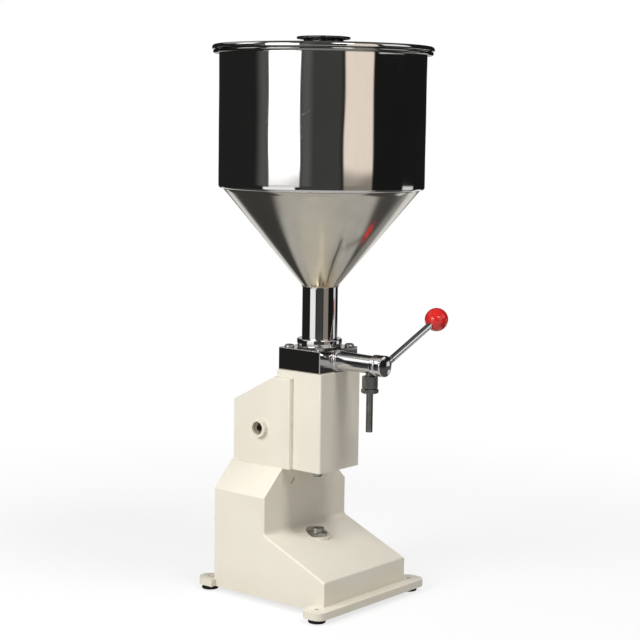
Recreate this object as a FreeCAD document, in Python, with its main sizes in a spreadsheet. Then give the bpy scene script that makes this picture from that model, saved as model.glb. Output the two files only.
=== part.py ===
"""Hand-worked liquid filling machine: hopper, rotary valve, metering cylinder and cast stand.

Millimetres. +Z is up, the front of the machine looks along -Y, and the origin lies on the floor
below the common axis of hopper, valve block and metering cylinder.
"""
import FreeCAD, Part
import math
import os
import Sketcher

Vector = FreeCAD.Vector
Rotation = FreeCAD.Rotation

# Driving dimensions. Heights of the base are measured from the floor and depths from the hopper axis;
# everything above the base is stacked on it.
SIZES = {
    # feet and flanges
    "foot_height": 7.5,
    "foot_diameter": 25.0,
    "bolt_hole_diameter": 6.6,
    "flange_thickness": 10.7,
    "front_hole_spacing": 215.0,
    "front_hole_depth": 92.0,
    "front_flange_margin": 18.0,
    "front_flange_lip": 20.0,
    "flange_corner_radius": 14.0,
    "rear_hole_spacing": 174.0,
    "rear_hole_depth": 136.0,
    "ear_radius": 16.0,
    # base casting
    "base_width": 187.5,
    "base_front": 93.5,
    "base_rear": 122.5,
    "toe_height": 53.4,
    "ramp_height": 102.2,
    "column_front": 22.3,
    "seam_height": 194.8,
    "shoulder_fall": 37.9,
    "shoulder_width": 110.0,
    "casting_wall": 8.0,
    "casting_radius": 3.0,
    "ramp_fillet": 7.0,
    # head casting
    "box_width": 91.4,
    "box_front": 41.6,
    "box_rear": 42.2,
    "housing_width": 106.0,
    "housing_front": 10.7,
    "housing_drop": 10.5,
    "housing_fall": 42.9,
    "head_floor": 9.0,
    "guide_rise": 4.2,
    "guide_thickness": 12.0,
    "guide_depth": 28.0,
    "seam_bolt_diameter": 8.0,
    "seam_bolt_spacing": 60.0,
    "seam_bolt_pitch": 54.0,
    "seam_bolt_depth": 40.0,
    "seam_bolt_across_flats": 13.0,
    "seam_bolt_head_height": 5.3,
    "seam_bolt_reach": 12.0,
    "seam_hole_spare": 2.0,
    "seam_boss_diameter": 20.0,
    "seam_boss_length": 10.0,
    # rear cover
    "cover_thickness": 3.0,
    "cover_overlap": 3.4,
    "cover_gap": 0.3,
    "cover_screw_diameter": 5.0,
    "cover_screw_length": 10.0,
    "cover_screw_head_diameter": 9.0,
    "cover_screw_head_height": 3.0,
    "cover_screw_socket": 3.0,
    "cover_post_radius": 6.0,
    "cover_post_length": 16.0,
    # press shaft and rocker
    "shaft_depth": 68.0,
    "shaft_diameter": 18.0,
    "side_boss_diameter": 27.0,
    "side_boss_length": 7.0,
    "side_boss_mouth": 20.0,
    "shaft_recess": 5.0,
    "handle_bore": 10.0,
    "handle_bore_depth": 22.0,
    "handle_keyway": 3.0,
    "bush_wall": 3.0,
    "bush_flange": 3.0,
    "arm_hub_diameter": 34.0,
    "arm_cheek_thickness": 8.0,
    "arm_cheek_gap": 1.0,
    "arm_root_height": 27.0,
    "arm_tip_radius": 10.0,
    "arm_web_reach": 38.0,
    "arm_pin_diameter": 6.0,
    "arm_pin_margin": 2.5,
    "slot_clearance": 0.45,
    # metering cylinder and piston
    "stroke": 36.0,
    "crosshead_gap": 8.0,
    "cylinder_bore": 42.0,
    "cylinder_wall": 5.0,
    "cylinder_flange": 4.0,
    "cylinder_flange_diameter": 62.0,
    "cylinder_seal_inset": 2.0,
    "cylinder_seal_width": 2.5,
    "cylinder_seal_depth": 1.6,
    "piston_length": 16.0,
    "piston_top_gap": 2.0,
    "piston_ring_width": 2.6,
    "piston_ring_depth": 2.5,
    "piston_ring_pitch": 6.4,
    "rod_diameter": 12.0,
    "rod_spigot_diameter": 8.0,
    "rod_spigot_length": 9.6,
    "rod_hang": 16.1,
    "rod_end_proud": 2.0,
    "rod_nut_diameter": 15.0,
    "rod_nut_height": 8.0,
    "crosshead_width": 24.0,
    "crosshead_depth": 22.0,
    "crosshead_height": 20.0,
    "trunnion_diameter": 10.0,
    "crosshead_pin_diameter": 4.0,
    # valve block and valve
    "block_width": 87.2,
    "block_front": 37.3,
    "block_rear": 41.7,
    "block_height": 33.0,
    "block_chamfer": 1.0,
    "block_screw_diameter": 8.0,
    "block_screw_head_diameter": 14.0,
    "block_screw_head_height": 4.4,
    "block_screw_head_bevel": 2.0,
    "block_screw_socket": 5.0,
    "block_screw_spacing": 68.0,
    "block_screw_pitch": 58.0,
    "hopper_port": 24.0,
    "cylinder_port": 20.0,
    "tube_diameter": 28.0,
    "tube_end_diameter": 26.0,
    "tube_bore": 20.0,
    "tube_reach": 103.0,
    "tube_tail": 26.0,
    "tube_ring_width": 4.0,
    "tube_ring_diameter": 33.0,
    "gland_width": 9.6,
    "gland_diameter": 30.5,
    "valve_port": 12.0,
    "spindle_bore": 9.0,
    "outlet_port": 8.0,
    "spindle_seal_width": 2.4,
    "spindle_seal_depth": 1.6,
    "inner_seal_inset": 16.0,
    "crescent_depth": 4.0,
    "crescent_angle": 200.0,
    "hub_width": 13.0,
    "hub_diameter": 31.0,
    "hub_bevel": 2.4,
    "spigot_diameter": 12.0,
    "spigot_length": 9.8,
    "stop_pin_diameter": 3.0,
    "stop_pin_radius": 12.4,
    "stop_pin_reach": 3.0,
    "valve_travel": 90.0,
    "lever_angle": 24.0,
    "lever_rod_diameter": 10.0,
    "ball_reach": 138.4,
    "ball_diameter": 35.0,
    # nozzle
    "nozzle_inset": 7.5,
    "nozzle_diameter": 10.0,
    "nozzle_bore": 7.0,
    "nozzle_length": 63.8,
    "nozzle_flange_width": 1.5,
    "nozzle_neck_relief": 0.2,
    "adaptor_across_flats": 20.0,
    "adaptor_height": 18.0,
    "adaptor_neck_diameter": 14.0,
    "adaptor_stem": 12.0,
    "adaptor_stem_gap": 0.8,
    "adaptor_drop": 16.5,
    "nozzle_nut_across_flats": 22.0,
    "nozzle_nut_height": 7.0,
    # hopper
    "gasket_thickness": 1.5,
    "gasket_margin": 1.0,
    "collar_diameter": 66.0,
    "collar_height": 11.5,
    "neck_diameter": 52.0,
    "neck_wall": 3.0,
    "neck_length": 88.2,
    "hopper_diameter": 300.0,
    "sheet_thickness": 1.5,
    "cone_length": 144.7,
    "barrel_length": 190.6,
    "rim_width": 8.5,
    "rim_height": 4.5,
    "rim_bevel": 1.4,
    "lid_gap": 0.3,
    "lid_edge_height": 6.5,
    "lid_overhang": 1.5,
    "lid_bead": 4.0,
    "lid_skirt": 8.0,
    "lid_skirt_gap": 1.5,
    "lid_crown_margin": 8.0,
    "knob_diameter": 78.0,
    "knob_body_diameter": 64.0,
    "knob_top_diameter": 66.0,
    "knob_height": 13.0,
    "knob_waist_height": 5.2,
    "knob_brim_low": 7.2,
    "knob_brim_high": 9.8,
    "knob_screw_diameter": 6.0,
    "knob_screw_reach": 7.8,
    # post socket on the ramp
    "socket_depth": 2.0,
    "socket_rise": 11.7,
    "socket_diameter": 19.4,
    "socket_bore": 12.0,
    "socket_bore_depth": 30.0,
    "socket_sink": 27.3,
    "pad_diameter": 36.0,
    "pad_drop": 12.9,
    "socket_nut_across_flats": 27.0,
    "socket_nut_height": 6.0,
    # small slot in the front of the column
    "slot_side": 30.0,
    "slot_drop": 20.8,
    "slot_length": 12.0,
    "slot_width": 4.0,
    "slot_depth": 3.0,
    # clearances
    "running_clearance": 0.05,
    "seal_clearance": 0.03,
    "seat_clearance": 0.05,
    "free_clearance": 0.3,
}

# How far a cut runs past the face that it opens, and how near two places count as the same.
PAST = 1.0
SAME = 0.01


class Quantity:
    """A number together with the expression that ties it to the sheet."""

    def __init__(self, text, value):
        self.text = text
        self.value = value

    def _joined(self, other, sign, result):
        other = quantity(other)
        return Quantity("(%s %s %s)" % (self.text, sign, other.text), result(self.value, other.value))

    def __add__(self, other):
        return self._joined(other, "+", lambda a, b: a + b)

    def __sub__(self, other):
        return self._joined(other, "-", lambda a, b: a - b)

    def __mul__(self, other):
        return self._joined(other, "*", lambda a, b: a * b)

    def __truediv__(self, other):
        return self._joined(other, "/", lambda a, b: a / b)

    def __radd__(self, other):
        return quantity(other) + self

    def __rsub__(self, other):
        return quantity(other) - self

    def __rmul__(self, other):
        return quantity(other) * self

    def __neg__(self):
        return Quantity("(-1 * %s)" % self.text, -self.value)


def quantity(number):
    """A plain number or a quantity, as a quantity."""
    if isinstance(number, Quantity):
        return number
    return Quantity("(%s)" % repr(float(number)), float(number))


def root(number):
    return Quantity("sqrt(%s)" % number.text, math.sqrt(number.value))


def arc_tangent(number):
    """Angle in degrees whose tangent is the number."""
    return Quantity("(atan(%s) / 1 deg)" % number.text, math.degrees(math.atan(number.value)))


def sine(degrees):
    return Quantity("sin(%s * 1 deg)" % degrees.text, math.sin(math.radians(degrees.value)))


def cosine(degrees):
    return Quantity("cos(%s * 1 deg)" % degrees.text, math.cos(math.radians(degrees.value)))


document = FreeCAD.newDocument("filling_machine")
sheet = document.addObject("Spreadsheet::Sheet", "sizes")
for row, (alias, number) in enumerate(SIZES.items(), start=1):
    sheet.set("A%d" % row, alias)
    sheet.set("B%d" % row, str(number))
    sheet.setAlias("B%d" % row, alias)
document.recompute()


class Sizes:
    """Gives each cell of the sheet as a quantity, by its name."""

    def __getattr__(self, alias):
        return Quantity("sizes.%s" % alias, float(SIZES[alias]))


s = Sizes()
pieces = {}


# Bodies, sketches and features

def bind(target, path, number):
    """Tie one property of an object to an expression."""
    target.setExpression(path, quantity(number).text)


def piece(label):
    """An empty body for one separate piece of the machine."""
    body = document.addObject("PartDesign::Body", label)
    body.Label = label
    body.AllowCompound = True
    pieces[label] = body
    return body


def place(body, x=0, y=0, z=0, axis=None, angle=0):
    """Put a body at a bound position, turned about an axis by a bound angle."""
    if axis is not None:
        body.Placement = FreeCAD.Placement(Vector(), Rotation(axis, quantity(angle).value))
        bind(body, "Placement.Rotation.Angle", angle)
    bind(body, "Placement.Base.x", x)
    bind(body, "Placement.Base.y", y)
    bind(body, "Placement.Base.z", z)


def sketch_on(body, plane, offset=0):
    """A sketch on one of the body's own origin planes, moved along its normal."""
    sketch = body.newObject("Sketcher::SketchObject", "sketch")
    support = next(f for f in body.Origin.OriginFeatures if f.Role == plane + "_Plane")
    sketch.AttachmentSupport = [(support, "")]
    sketch.MapMode = "FlatFace"
    bind(sketch, "AttachmentOffset.Base.z", offset)
    return sketch


def fix(sketch, kind, indices, number):
    """Add a constraint to the sketch and tie it to an expression."""
    number = quantity(number)
    index = sketch.addConstraint(Sketcher.Constraint(kind, *indices, number.value))
    sketch.setExpression("Constraints[%d]" % index, number.text)


def add_outline(sketch, points):
    """Closed outline of straight runs through points given as pairs of quantities."""
    first = sketch.GeometryCount
    count = len(points)
    corners = [Vector(quantity(x).value, quantity(y).value, 0) for x, y in points]
    for i in range(count):
        sketch.addGeometry(Part.LineSegment(corners[i], corners[(i + 1) % count]), False)
    for i in range(count):
        sketch.addConstraint(
            Sketcher.Constraint("Coincident", first + i, 2, first + (i + 1) % count, 1))
    for i, (x, y) in enumerate(points):
        fix(sketch, "DistanceX", (-1, 1, first + i, 1), x)
        fix(sketch, "DistanceY", (-1, 1, first + i, 1), y)


def add_circle(sketch, x, y, radius):
    """Full circle about a bound centre."""
    x, y, radius = quantity(x), quantity(y), quantity(radius)
    index = sketch.addGeometry(
        Part.Circle(Vector(x.value, y.value, 0), Vector(0, 0, 1), radius.value), False)
    fix(sketch, "DistanceX", (-1, 1, index, 3), x)
    fix(sketch, "DistanceY", (-1, 1, index, 3), y)
    fix(sketch, "Radius", (index,), radius)


def rectangle(x0, y0, x1, y1):
    """The four corners of an upright rectangle."""
    return [(x0, y0), (x1, y0), (x1, y1), (x0, y1)]


def hexagon(across_flats):
    """Corners of a hexagon about the origin, with two flats across the x direction."""
    corner = across_flats / math.sqrt(3.0)
    half = across_flats / 2
    return [(half, corner / 2), (quantity(0), corner), (-half, corner / 2),
            (-half, -corner / 2), (quantity(0), -corner), (half, -corner / 2)]


def extrude(body, sketch, length, cut=False, symmetric=False, reverse=False):
    """Pad or pocket of a sketch."""
    feature = body.newObject("PartDesign::" + ("Pocket" if cut else "Pad"), "extrusion")
    feature.Profile = sketch
    feature.SideType = "Symmetric" if symmetric else "One side"
    feature.Reversed = reverse
    bind(feature, "Length", length)
    sketch.Visibility = False
    body.Tip = feature
    return feature


def prism(body, plane, points, length, offset=0, cut=False, symmetric=False, reverse=False):
    """Straight-sided outline, padded or pocketed."""
    sketch = sketch_on(body, plane, offset)
    add_outline(sketch, points)
    return extrude(body, sketch, length, cut, symmetric, reverse)


def rod(body, plane, centres, radius, length, offset=0, cut=False, symmetric=False, reverse=False):
    """Round bars or holes about one or more centres."""
    sketch = sketch_on(body, plane, offset)
    for x, y in centres:
        add_circle(sketch, x, y, radius)
    return extrude(body, sketch, length, cut, symmetric, reverse)


def bore(body, plane, centres, radius, low, high, below=PAST):
    """Round holes between two places along the plane's normal, open at the higher end."""
    return rod(body, plane, centres, radius, high - low + below + PAST, offset=low - below, cut=True,
               reverse=True)


def turn(body, points, cut=False, angle=360, plane="XZ", symmetric=False):
    """Outline of (radius, height) pairs turned about the body's own Z axis."""
    sketch = sketch_on(body, plane)
    add_outline(sketch, points)
    feature = body.newObject("PartDesign::" + ("Groove" if cut else "Revolution"), "turned")
    feature.Profile = sketch
    feature.ReferenceAxis = (sketch, ["V_Axis"])
    feature.Midplane = symmetric
    bind(feature, "Angle", angle)
    sketch.Visibility = False
    body.Tip = feature
    return feature


def ring(body, inner, outer, low, high):
    """Plain ring between two radii and two heights."""
    return turn(body, rectangle(inner, low, outer, high))


def round_edges(body, radius, wanted, kind="Fillet"):
    """Fillet or chamfer the edges of the tip that the test picks out."""
    document.recompute()
    base = body.Tip
    names = ["Edge%d" % (i + 1) for i, edge in enumerate(base.Shape.Edges) if wanted(edge)]
    feature = body.newObject("PartDesign::" + kind, "rounding")
    feature.Base = (base, names)
    bind(feature, "Radius" if kind == "Fillet" else "Size", radius)
    body.Tip = feature
    return feature


def same(first, second):
    """True for two lengths that are equal to within the tolerance of a build."""
    return abs(quantity(first).value - quantity(second).value) < SAME


def is_circle(edge, radius, height=None):
    """True for a round edge of a given radius, at a given height along its axis."""
    if not isinstance(edge.Curve, Part.Circle) or not same(edge.Curve.Radius, radius):
        return False
    return height is None or same(edge.CenterOfMass.z, height)


def is_vertical(edge):
    """True for a straight edge that runs up and down."""
    box = edge.BoundBox
    return isinstance(edge.Curve, Part.Line) and same(box.XLength, 0) and same(box.YLength, 0)


# Heights and lines that several pieces share. From the seam upwards the crosshead's travel sets the
# height of the head: guide bush, gap, crosshead and stroke, gap, cylinder.

cylinder_length = s.piston_top_gap + s.piston_length + s.stroke
guide_height = s.seam_height + s.guide_rise
travel_low = guide_height + s.guide_thickness + s.bush_flange + s.crosshead_gap
travel_high = travel_low + s.crosshead_height + s.stroke
shaft_height = (travel_low + travel_high) / 2
cylinder_bottom = travel_high + s.crosshead_gap
box_height = cylinder_bottom + cylinder_length
housing_ridge = box_height - s.housing_drop
housing_eave = housing_ridge - s.housing_fall
block_bottom = box_height
block_top = block_bottom + s.block_height
tube_height = block_bottom + s.block_height / 2
shoulder_height = s.seam_height - s.shoulder_fall
pad_height = s.ramp_height - s.pad_drop
socket_bottom = pad_height - s.socket_sink
socket_top = pad_height + s.socket_rise

ramp_slope = (s.ramp_height - s.toe_height) / (s.column_front + s.base_front)
housing_slope = s.housing_fall / (s.base_rear - s.box_rear)
half_base = s.base_width / 2
shoulder_slope = s.shoulder_fall / (half_base - s.shoulder_width / 2)
half_box = s.box_width / 2
half_housing = s.housing_width / 2
head_wall = s.casting_wall
inner_box = half_box - head_wall
inner_housing = half_housing - head_wall
ear_places = [(-s.rear_hole_spacing / 2, s.rear_hole_depth), (s.rear_hole_spacing / 2, s.rear_hole_depth)]
front_places = [(-s.front_hole_spacing / 2, -s.front_hole_depth),
                (s.front_hole_spacing / 2, -s.front_hole_depth)]
bolt_places = front_places + ear_places
seam_bolts = [(side * s.seam_bolt_spacing / 2, s.seam_bolt_depth + step * s.seam_bolt_pitch)
              for side in (-1, 1) for step in (0, 1)]
block_screws = [(sx * s.block_screw_spacing / 2, sy * s.block_screw_pitch / 2)
                for sx in (-1, 1) for sy in (-1, 1)]
cylinder_outer = s.cylinder_bore / 2 + s.cylinder_wall
piston_top = box_height - s.piston_top_gap
pin_height = shaft_height + s.stroke / 2
arm_tilt = arc_tangent(s.stroke / 2 / s.shaft_depth)
boss_face = half_housing + s.side_boss_length
bush_outer = s.shaft_diameter / 2 + s.bush_wall


# Base casting and feet

def base_casting():
    """Hollow cast foot: sloping ramp, column, shoulders, front flange and rear ears."""
    body = piece("base_casting")
    low = s.foot_height
    side_outline = [(-s.base_front, low), (s.base_rear, low), (s.base_rear, s.seam_height),
                    (s.column_front, s.seam_height), (s.column_front, s.ramp_height),
                    (-s.base_front, s.toe_height)]
    prism(body, "YZ", side_outline, s.base_width, symmetric=True)
    for side in (-1, 1):
        outer, inner = side * (half_base + PAST), side * s.shoulder_width / 2
        shoulder = [(outer, shoulder_height - PAST * shoulder_slope), (outer, s.seam_height + PAST),
                    (inner, s.seam_height + PAST), (inner, s.seam_height)]
        prism(body, "XZ", shoulder, s.base_rear + s.base_front + 2 * PAST,
              offset=s.base_front + PAST, cut=True)

    def inner_corner(edge):
        middle = edge.CenterOfMass
        return same(middle.z, s.ramp_height) and same(middle.y, s.column_front)

    round_edges(body, s.ramp_fillet, inner_corner)

    def outer_edge(edge):
        box = edge.BoundBox
        if not isinstance(edge.Curve, Part.Line) or same(box.ZMax, low):
            return False
        on_side = same(abs(edge.CenterOfMass.x), half_base) and same(box.XLength, 0)
        on_front = same(edge.CenterOfMass.y, -s.base_front) and same(box.ZLength, 0)
        return (on_side and not same(box.ZMax, s.toe_height)) or on_front

    round_edges(body, s.casting_radius, outer_edge)
    wall = s.casting_wall
    drop = wall * root(1 + ramp_slope * ramp_slope)
    inner_top = shoulder_height - wall
    cavity = [(wall - s.base_front, low - PAST), (s.base_rear - wall, low - PAST),
              (s.base_rear - wall, inner_top), (s.column_front + wall, inner_top),
              (s.column_front + wall, s.ramp_height - drop + ramp_slope * wall),
              (wall - s.base_front, s.toe_height - drop + ramp_slope * wall)]
    prism(body, "YZ", cavity, s.base_width - 2 * wall, cut=True, symmetric=True)
    upper = rectangle(s.column_front + wall, inner_top - PAST, s.base_rear - wall, s.seam_height - wall)
    prism(body, "YZ", upper, s.shoulder_width - 2 * wall, cut=True, symmetric=True)
    front_flange(body)
    rear_ears(body)
    bore(body, "XY", bolt_places, s.bolt_hole_diameter / 2, low, low + s.flange_thickness)
    socket_place = [(0, -s.socket_depth)]
    rod(body, "XY", socket_place, s.pad_diameter / 2, s.socket_sink, offset=socket_bottom)
    rod(body, "XY", socket_place, s.pad_diameter / 2, s.pad_drop, offset=pad_height, cut=True,
        reverse=True)
    bore(body, "XY", socket_place, s.socket_diameter / 2 + s.seat_clearance, socket_bottom, pad_height)
    rod(body, "XY", seam_bolts, s.seam_boss_diameter / 2, wall + s.seam_boss_length,
        offset=s.seam_height, reverse=True)
    bore(body, "XY", seam_bolts, s.seam_bolt_diameter / 2,
         s.seam_height - s.seam_bolt_reach - s.seam_hole_spare, s.seam_height, below=0)
    column_slot(body)
    return body


def front_flange(body):
    """Flat strip across the front, wider than the foot box, with rounded corners."""
    reach = s.front_hole_spacing / 2 + s.front_flange_margin
    front = -s.front_hole_depth - s.front_flange_lip
    back = -s.front_hole_depth + s.front_flange_margin
    prism(body, "XY", rectangle(-reach, front, reach, back), s.flange_thickness, offset=s.foot_height)
    inside = rectangle(s.casting_wall - half_base, s.casting_wall - s.base_front,
                       half_base - s.casting_wall, back + PAST)
    prism(body, "XY", inside, s.flange_thickness + 2 * PAST, offset=s.foot_height - PAST, cut=True,
          reverse=True)

    def corner(edge):
        return is_vertical(edge) and same(abs(edge.CenterOfMass.x), reach)

    round_edges(body, s.flange_corner_radius, corner)


def rear_ears(body):
    """Two rounded lugs behind the foot box."""
    for x, y in ear_places:
        prism(body, "XY", rectangle(x - s.ear_radius, s.base_rear - s.casting_wall / 2,
                                    x + s.ear_radius, y), s.flange_thickness, offset=s.foot_height)
    rod(body, "XY", ear_places, s.ear_radius, s.flange_thickness, offset=s.foot_height)


def column_slot(body):
    """Short slanting slot in the front face of the column."""
    run = s.slot_length / 2 / math.sqrt(2.0)
    half = s.slot_width / 2 / math.sqrt(2.0)
    x, z = -s.slot_side, s.seam_height - s.slot_drop
    outline = [(x - run + half, z - run - half), (x + run + half, z + run - half),
               (x + run - half, z + run + half), (x - run - half, z - run + half)]
    prism(body, "XZ", outline, 2 * s.slot_depth, offset=-s.column_front, cut=True, symmetric=True)


def feet():
    """Four rubber rings under the bolt holes."""
    body = piece("rubber_feet")
    sketch = sketch_on(body, "XY")
    for x, y in bolt_places:
        add_circle(sketch, x, y, s.foot_diameter / 2)
        add_circle(sketch, x, y, s.bolt_hole_diameter / 2 + s.free_clearance)
    extrude(body, sketch, s.foot_height)
    return body


# Head casting

def head_casting():
    """Front box over the wider rear housing, hollow, open below at the front and behind."""
    body = piece("head_casting")
    prism(body, "XY", rectangle(-half_box, -s.box_front, half_box, s.box_rear),
          box_height - s.seam_height, offset=s.seam_height)
    housing = [(s.housing_front, s.seam_height), (s.base_rear, s.seam_height),
               (s.base_rear, housing_eave), (s.box_rear, housing_ridge),
               (s.housing_front, housing_ridge)]
    prism(body, "YZ", housing, s.housing_width, symmetric=True)

    def outer_edge(edge):
        middle, box = edge.CenterOfMass, edge.BoundBox
        if not isinstance(edge.Curve, Part.Line) or not same(box.XLength, 0):
            return False
        on_housing = same(abs(middle.x), half_housing)
        upright = is_vertical(edge) and (on_housing or middle.y < 0)
        return upright or (on_housing and box.ZMin > s.seam_height.value)

    round_edges(body, s.casting_radius, outer_edge)
    rod(body, "YZ", [(s.shaft_depth, shaft_height)], s.side_boss_diameter / 2, 2 * boss_face,
        symmetric=True)
    floor = s.seam_height + s.head_floor
    roof = housing_ridge - head_wall
    prism(body, "XY", rectangle(-inner_box, head_wall - s.box_front, inner_box,
                                s.column_front - head_wall),
          box_height - head_wall - s.seam_height + PAST, offset=s.seam_height - PAST, cut=True,
          reverse=True)
    slant = head_wall * root(1 + housing_slope * housing_slope)
    front_cavity = rectangle(0, floor, s.housing_front + 2 * head_wall, roof)
    prism(body, "YZ", front_cavity, 2 * inner_box, cut=True, symmetric=True)
    rear_cavity = [(s.housing_front + head_wall, floor), (s.base_rear + PAST, floor),
                   (s.base_rear + PAST, housing_eave - slant - PAST * housing_slope),
                   (s.box_rear, housing_ridge - slant), (s.housing_front + head_wall, roof)]
    prism(body, "YZ", rear_cavity, 2 * inner_housing, cut=True, symmetric=True)
    guide_web(body)
    cover_seat(body)
    top = box_height
    centre = [(0, 0)]
    bore(body, "XY", centre, cylinder_outer + s.seat_clearance, roof, top)
    bore(body, "XY", centre, s.cylinder_flange_diameter / 2 + s.seat_clearance,
         top - s.cylinder_flange, top, below=0)
    bore(body, "XY", block_screws, s.block_screw_diameter / 2 + s.seat_clearance, top - head_wall, top)
    bore(body, "XY", seam_bolts, s.seam_bolt_diameter / 2 + s.free_clearance, s.seam_height,
         s.seam_height + s.head_floor)
    shaft_axis = [(s.shaft_depth, shaft_height)]
    rod(body, "YZ", shaft_axis, s.side_boss_mouth / 2, 2 * (boss_face + PAST), cut=True, symmetric=True)
    rod(body, "YZ", shaft_axis, bush_outer + s.seat_clearance, 2 * (boss_face - s.shaft_recess),
        cut=True, symmetric=True)
    return body


def guide_web(body):
    """Bridge across the front box that guides the lower end of the piston rod."""
    reach = inner_box + head_wall / 2
    prism(body, "XY", rectangle(-reach, -s.guide_depth / 2, reach, s.guide_depth / 2),
          s.guide_thickness, offset=guide_height)
    bore(body, "XY", [(0, 0)], s.rod_diameter / 2 + s.bush_wall + s.seat_clearance,
         guide_height, guide_height + s.guide_thickness)


cover_half_width = inner_housing + s.cover_overlap
cover_low = s.seam_height + s.head_floor - s.cover_overlap
cover_high = housing_eave - head_wall
cover_screw_side = inner_housing - s.cover_post_radius
cover_screw_heights = (cover_low + s.cover_overlap + s.cover_post_radius,
                       cover_high - s.cover_overlap - s.cover_post_radius)
cover_screws = [(side * cover_screw_side, height) for side in (-1, 1) for height in cover_screw_heights]


def cover_seat(body):
    """Rebate and four screw posts for the rear cover."""
    seat = s.base_rear - s.cover_thickness
    radius = s.cover_post_radius
    for side in (-1, 1):
        inner, outer = side * (cover_screw_side - radius), side * (inner_housing + head_wall / 2)
        for height in cover_screw_heights:
            prism(body, "XZ", rectangle(inner, height - radius, outer, height + radius),
                  s.cover_post_length, offset=-seat)
    rebate = rectangle(-cover_half_width, cover_low, cover_half_width, cover_high)
    prism(body, "XZ", rebate, s.cover_thickness + PAST, offset=-seat, cut=True)
    rod(body, "XZ", cover_screws, s.cover_screw_diameter / 2 + s.seat_clearance,
        s.cover_screw_length + s.free_clearance, offset=-seat, cut=True, reverse=True)


def rear_cover():
    """Flat plate that closes the back of the head."""
    body = piece("rear_cover")
    gap = s.cover_gap
    seat = s.base_rear - s.cover_thickness
    outline = rectangle(gap - cover_half_width, cover_low + gap, cover_half_width - gap, cover_high - gap)
    prism(body, "XZ", outline, s.cover_thickness, offset=-seat, reverse=True)
    bore(body, "XZ", cover_screws, s.cover_screw_diameter / 2 + s.free_clearance, -s.base_rear, -seat)
    return body


def shanks(label, plane, places, radius, length, offset, reverse=False):
    """Body with the plain shanks of a row of equal screws, which run back from their heads."""
    body = piece(label)
    rod(body, plane, places, radius, length, offset=offset, reverse=not reverse)
    return body


def hexagons(body, plane, places, across_flats, length, offset, cut=False, reverse=False):
    """Hexagon heads or sockets about several centres."""
    sketch = sketch_on(body, plane, offset)
    for x, y in places:
        add_outline(sketch, [(x + u, y + v) for u, v in hexagon(across_flats)])
    extrude(body, sketch, length, cut, reverse=reverse)


def fasteners():
    """Cover screws, bolts between the castings, and screws of the valve block."""
    rear = -s.base_rear
    body = shanks("cover_screws", "XZ", cover_screws, s.cover_screw_diameter / 2,
                  s.cover_thickness + s.cover_screw_length, rear, reverse=True)
    rod(body, "XZ", cover_screws, s.cover_screw_head_diameter / 2, s.cover_screw_head_height,
        offset=rear, reverse=True)
    hexagons(body, "XZ", cover_screws, s.cover_screw_socket, s.cover_screw_head_height / 2,
             rear - s.cover_screw_head_height, cut=True, reverse=True)

    floor = s.seam_height + s.head_floor
    body = shanks("casting_bolts", "XY", seam_bolts, s.seam_bolt_diameter / 2 - s.seat_clearance,
                  s.head_floor + s.seam_bolt_reach, floor)
    hexagons(body, "XY", seam_bolts, s.seam_bolt_across_flats, s.seam_bolt_head_height, floor)

    body = shanks("block_screws", "XY", block_screws, s.block_screw_diameter / 2,
                  s.block_height + head_wall, block_top)
    head_radius = s.block_screw_head_diameter / 2
    head_top = block_top + s.block_screw_head_height
    rod(body, "XY", block_screws, head_radius, s.block_screw_head_height, offset=block_top)
    round_edges(body, s.block_screw_head_bevel, lambda edge: is_circle(edge, head_radius, head_top),
                kind="Chamfer")
    hexagons(body, "XY", block_screws, s.block_screw_socket, s.block_screw_head_height / 2, head_top,
             cut=True)


# Valve block and rotary valve

def valve_block():
    """Polished block with the hopper port above, the cylinder port below and the tube bore."""
    body = piece("valve_block")
    half = s.block_width / 2
    prism(body, "XY", rectangle(-half, -s.block_front, half, s.block_rear), s.block_height,
          offset=block_bottom)
    round_edges(body, s.block_chamfer, lambda edge: True, kind="Chamfer")
    centre = [(0, 0)]
    bore(body, "XY", centre, s.hopper_port / 2, tube_height, block_top, below=0)
    rod(body, "XY", centre, s.cylinder_port / 2, tube_height - block_bottom + PAST,
        offset=tube_height, cut=True)
    bore(body, "XY", block_screws, s.block_screw_diameter / 2 + s.free_clearance, block_bottom, block_top)
    bore(body, "XZ", [(0, tube_height)], s.tube_diameter / 2 + s.seat_clearance, -s.tube_tail,
         s.block_front, below=0)
    return body


hub_low = s.tube_reach + s.gland_width + s.free_clearance
hub_middle = hub_low + s.hub_width / 2
tube_straight = s.block_front + s.tube_ring_width
tube_taper = (s.tube_diameter - s.tube_end_diameter) / 2 / (s.tube_reach - tube_straight)
nozzle_depth = s.tube_reach - s.nozzle_inset
tube_radius_at_nozzle = s.tube_end_diameter / 2 + tube_taper * s.nozzle_inset
seal_places = (s.block_front - s.inner_seal_inset, s.tube_reach + s.gland_width / 2)
seal_half = s.spindle_seal_width / 2
seal_floor = s.tube_bore / 2 - s.spindle_seal_depth


def along_valve(label):
    """A body whose own Z axis runs forward along the valve, and whose own Y axis points up."""
    body = piece(label)
    place(body, 0, 0, tube_height, Vector(1, 0, 0), 90)
    return body


def valve_tube():
    """Fixed sleeve: deep in the block, tapering forward, with ports and the nozzle outlet."""
    body = along_valve("valve_tube")
    inner, outer = s.tube_bore / 2, s.tube_diameter / 2
    turn(body, [(inner, -s.tube_tail), (outer, -s.tube_tail), (outer, tube_straight),
                (s.tube_end_diameter / 2, s.tube_reach), (inner, s.tube_reach)])
    rod(body, "XZ", [(0, 0)], s.valve_port / 2, s.tube_diameter + PAST, cut=True, symmetric=True)
    rod(body, "XZ", [(0, nozzle_depth)], s.adaptor_stem / 2 + s.seat_clearance,
        s.tube_diameter, cut=True, reverse=True)
    ring(along_valve("tube_ring"), outer + s.seat_clearance, s.tube_ring_diameter / 2,
         s.block_front, tube_straight)


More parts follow.
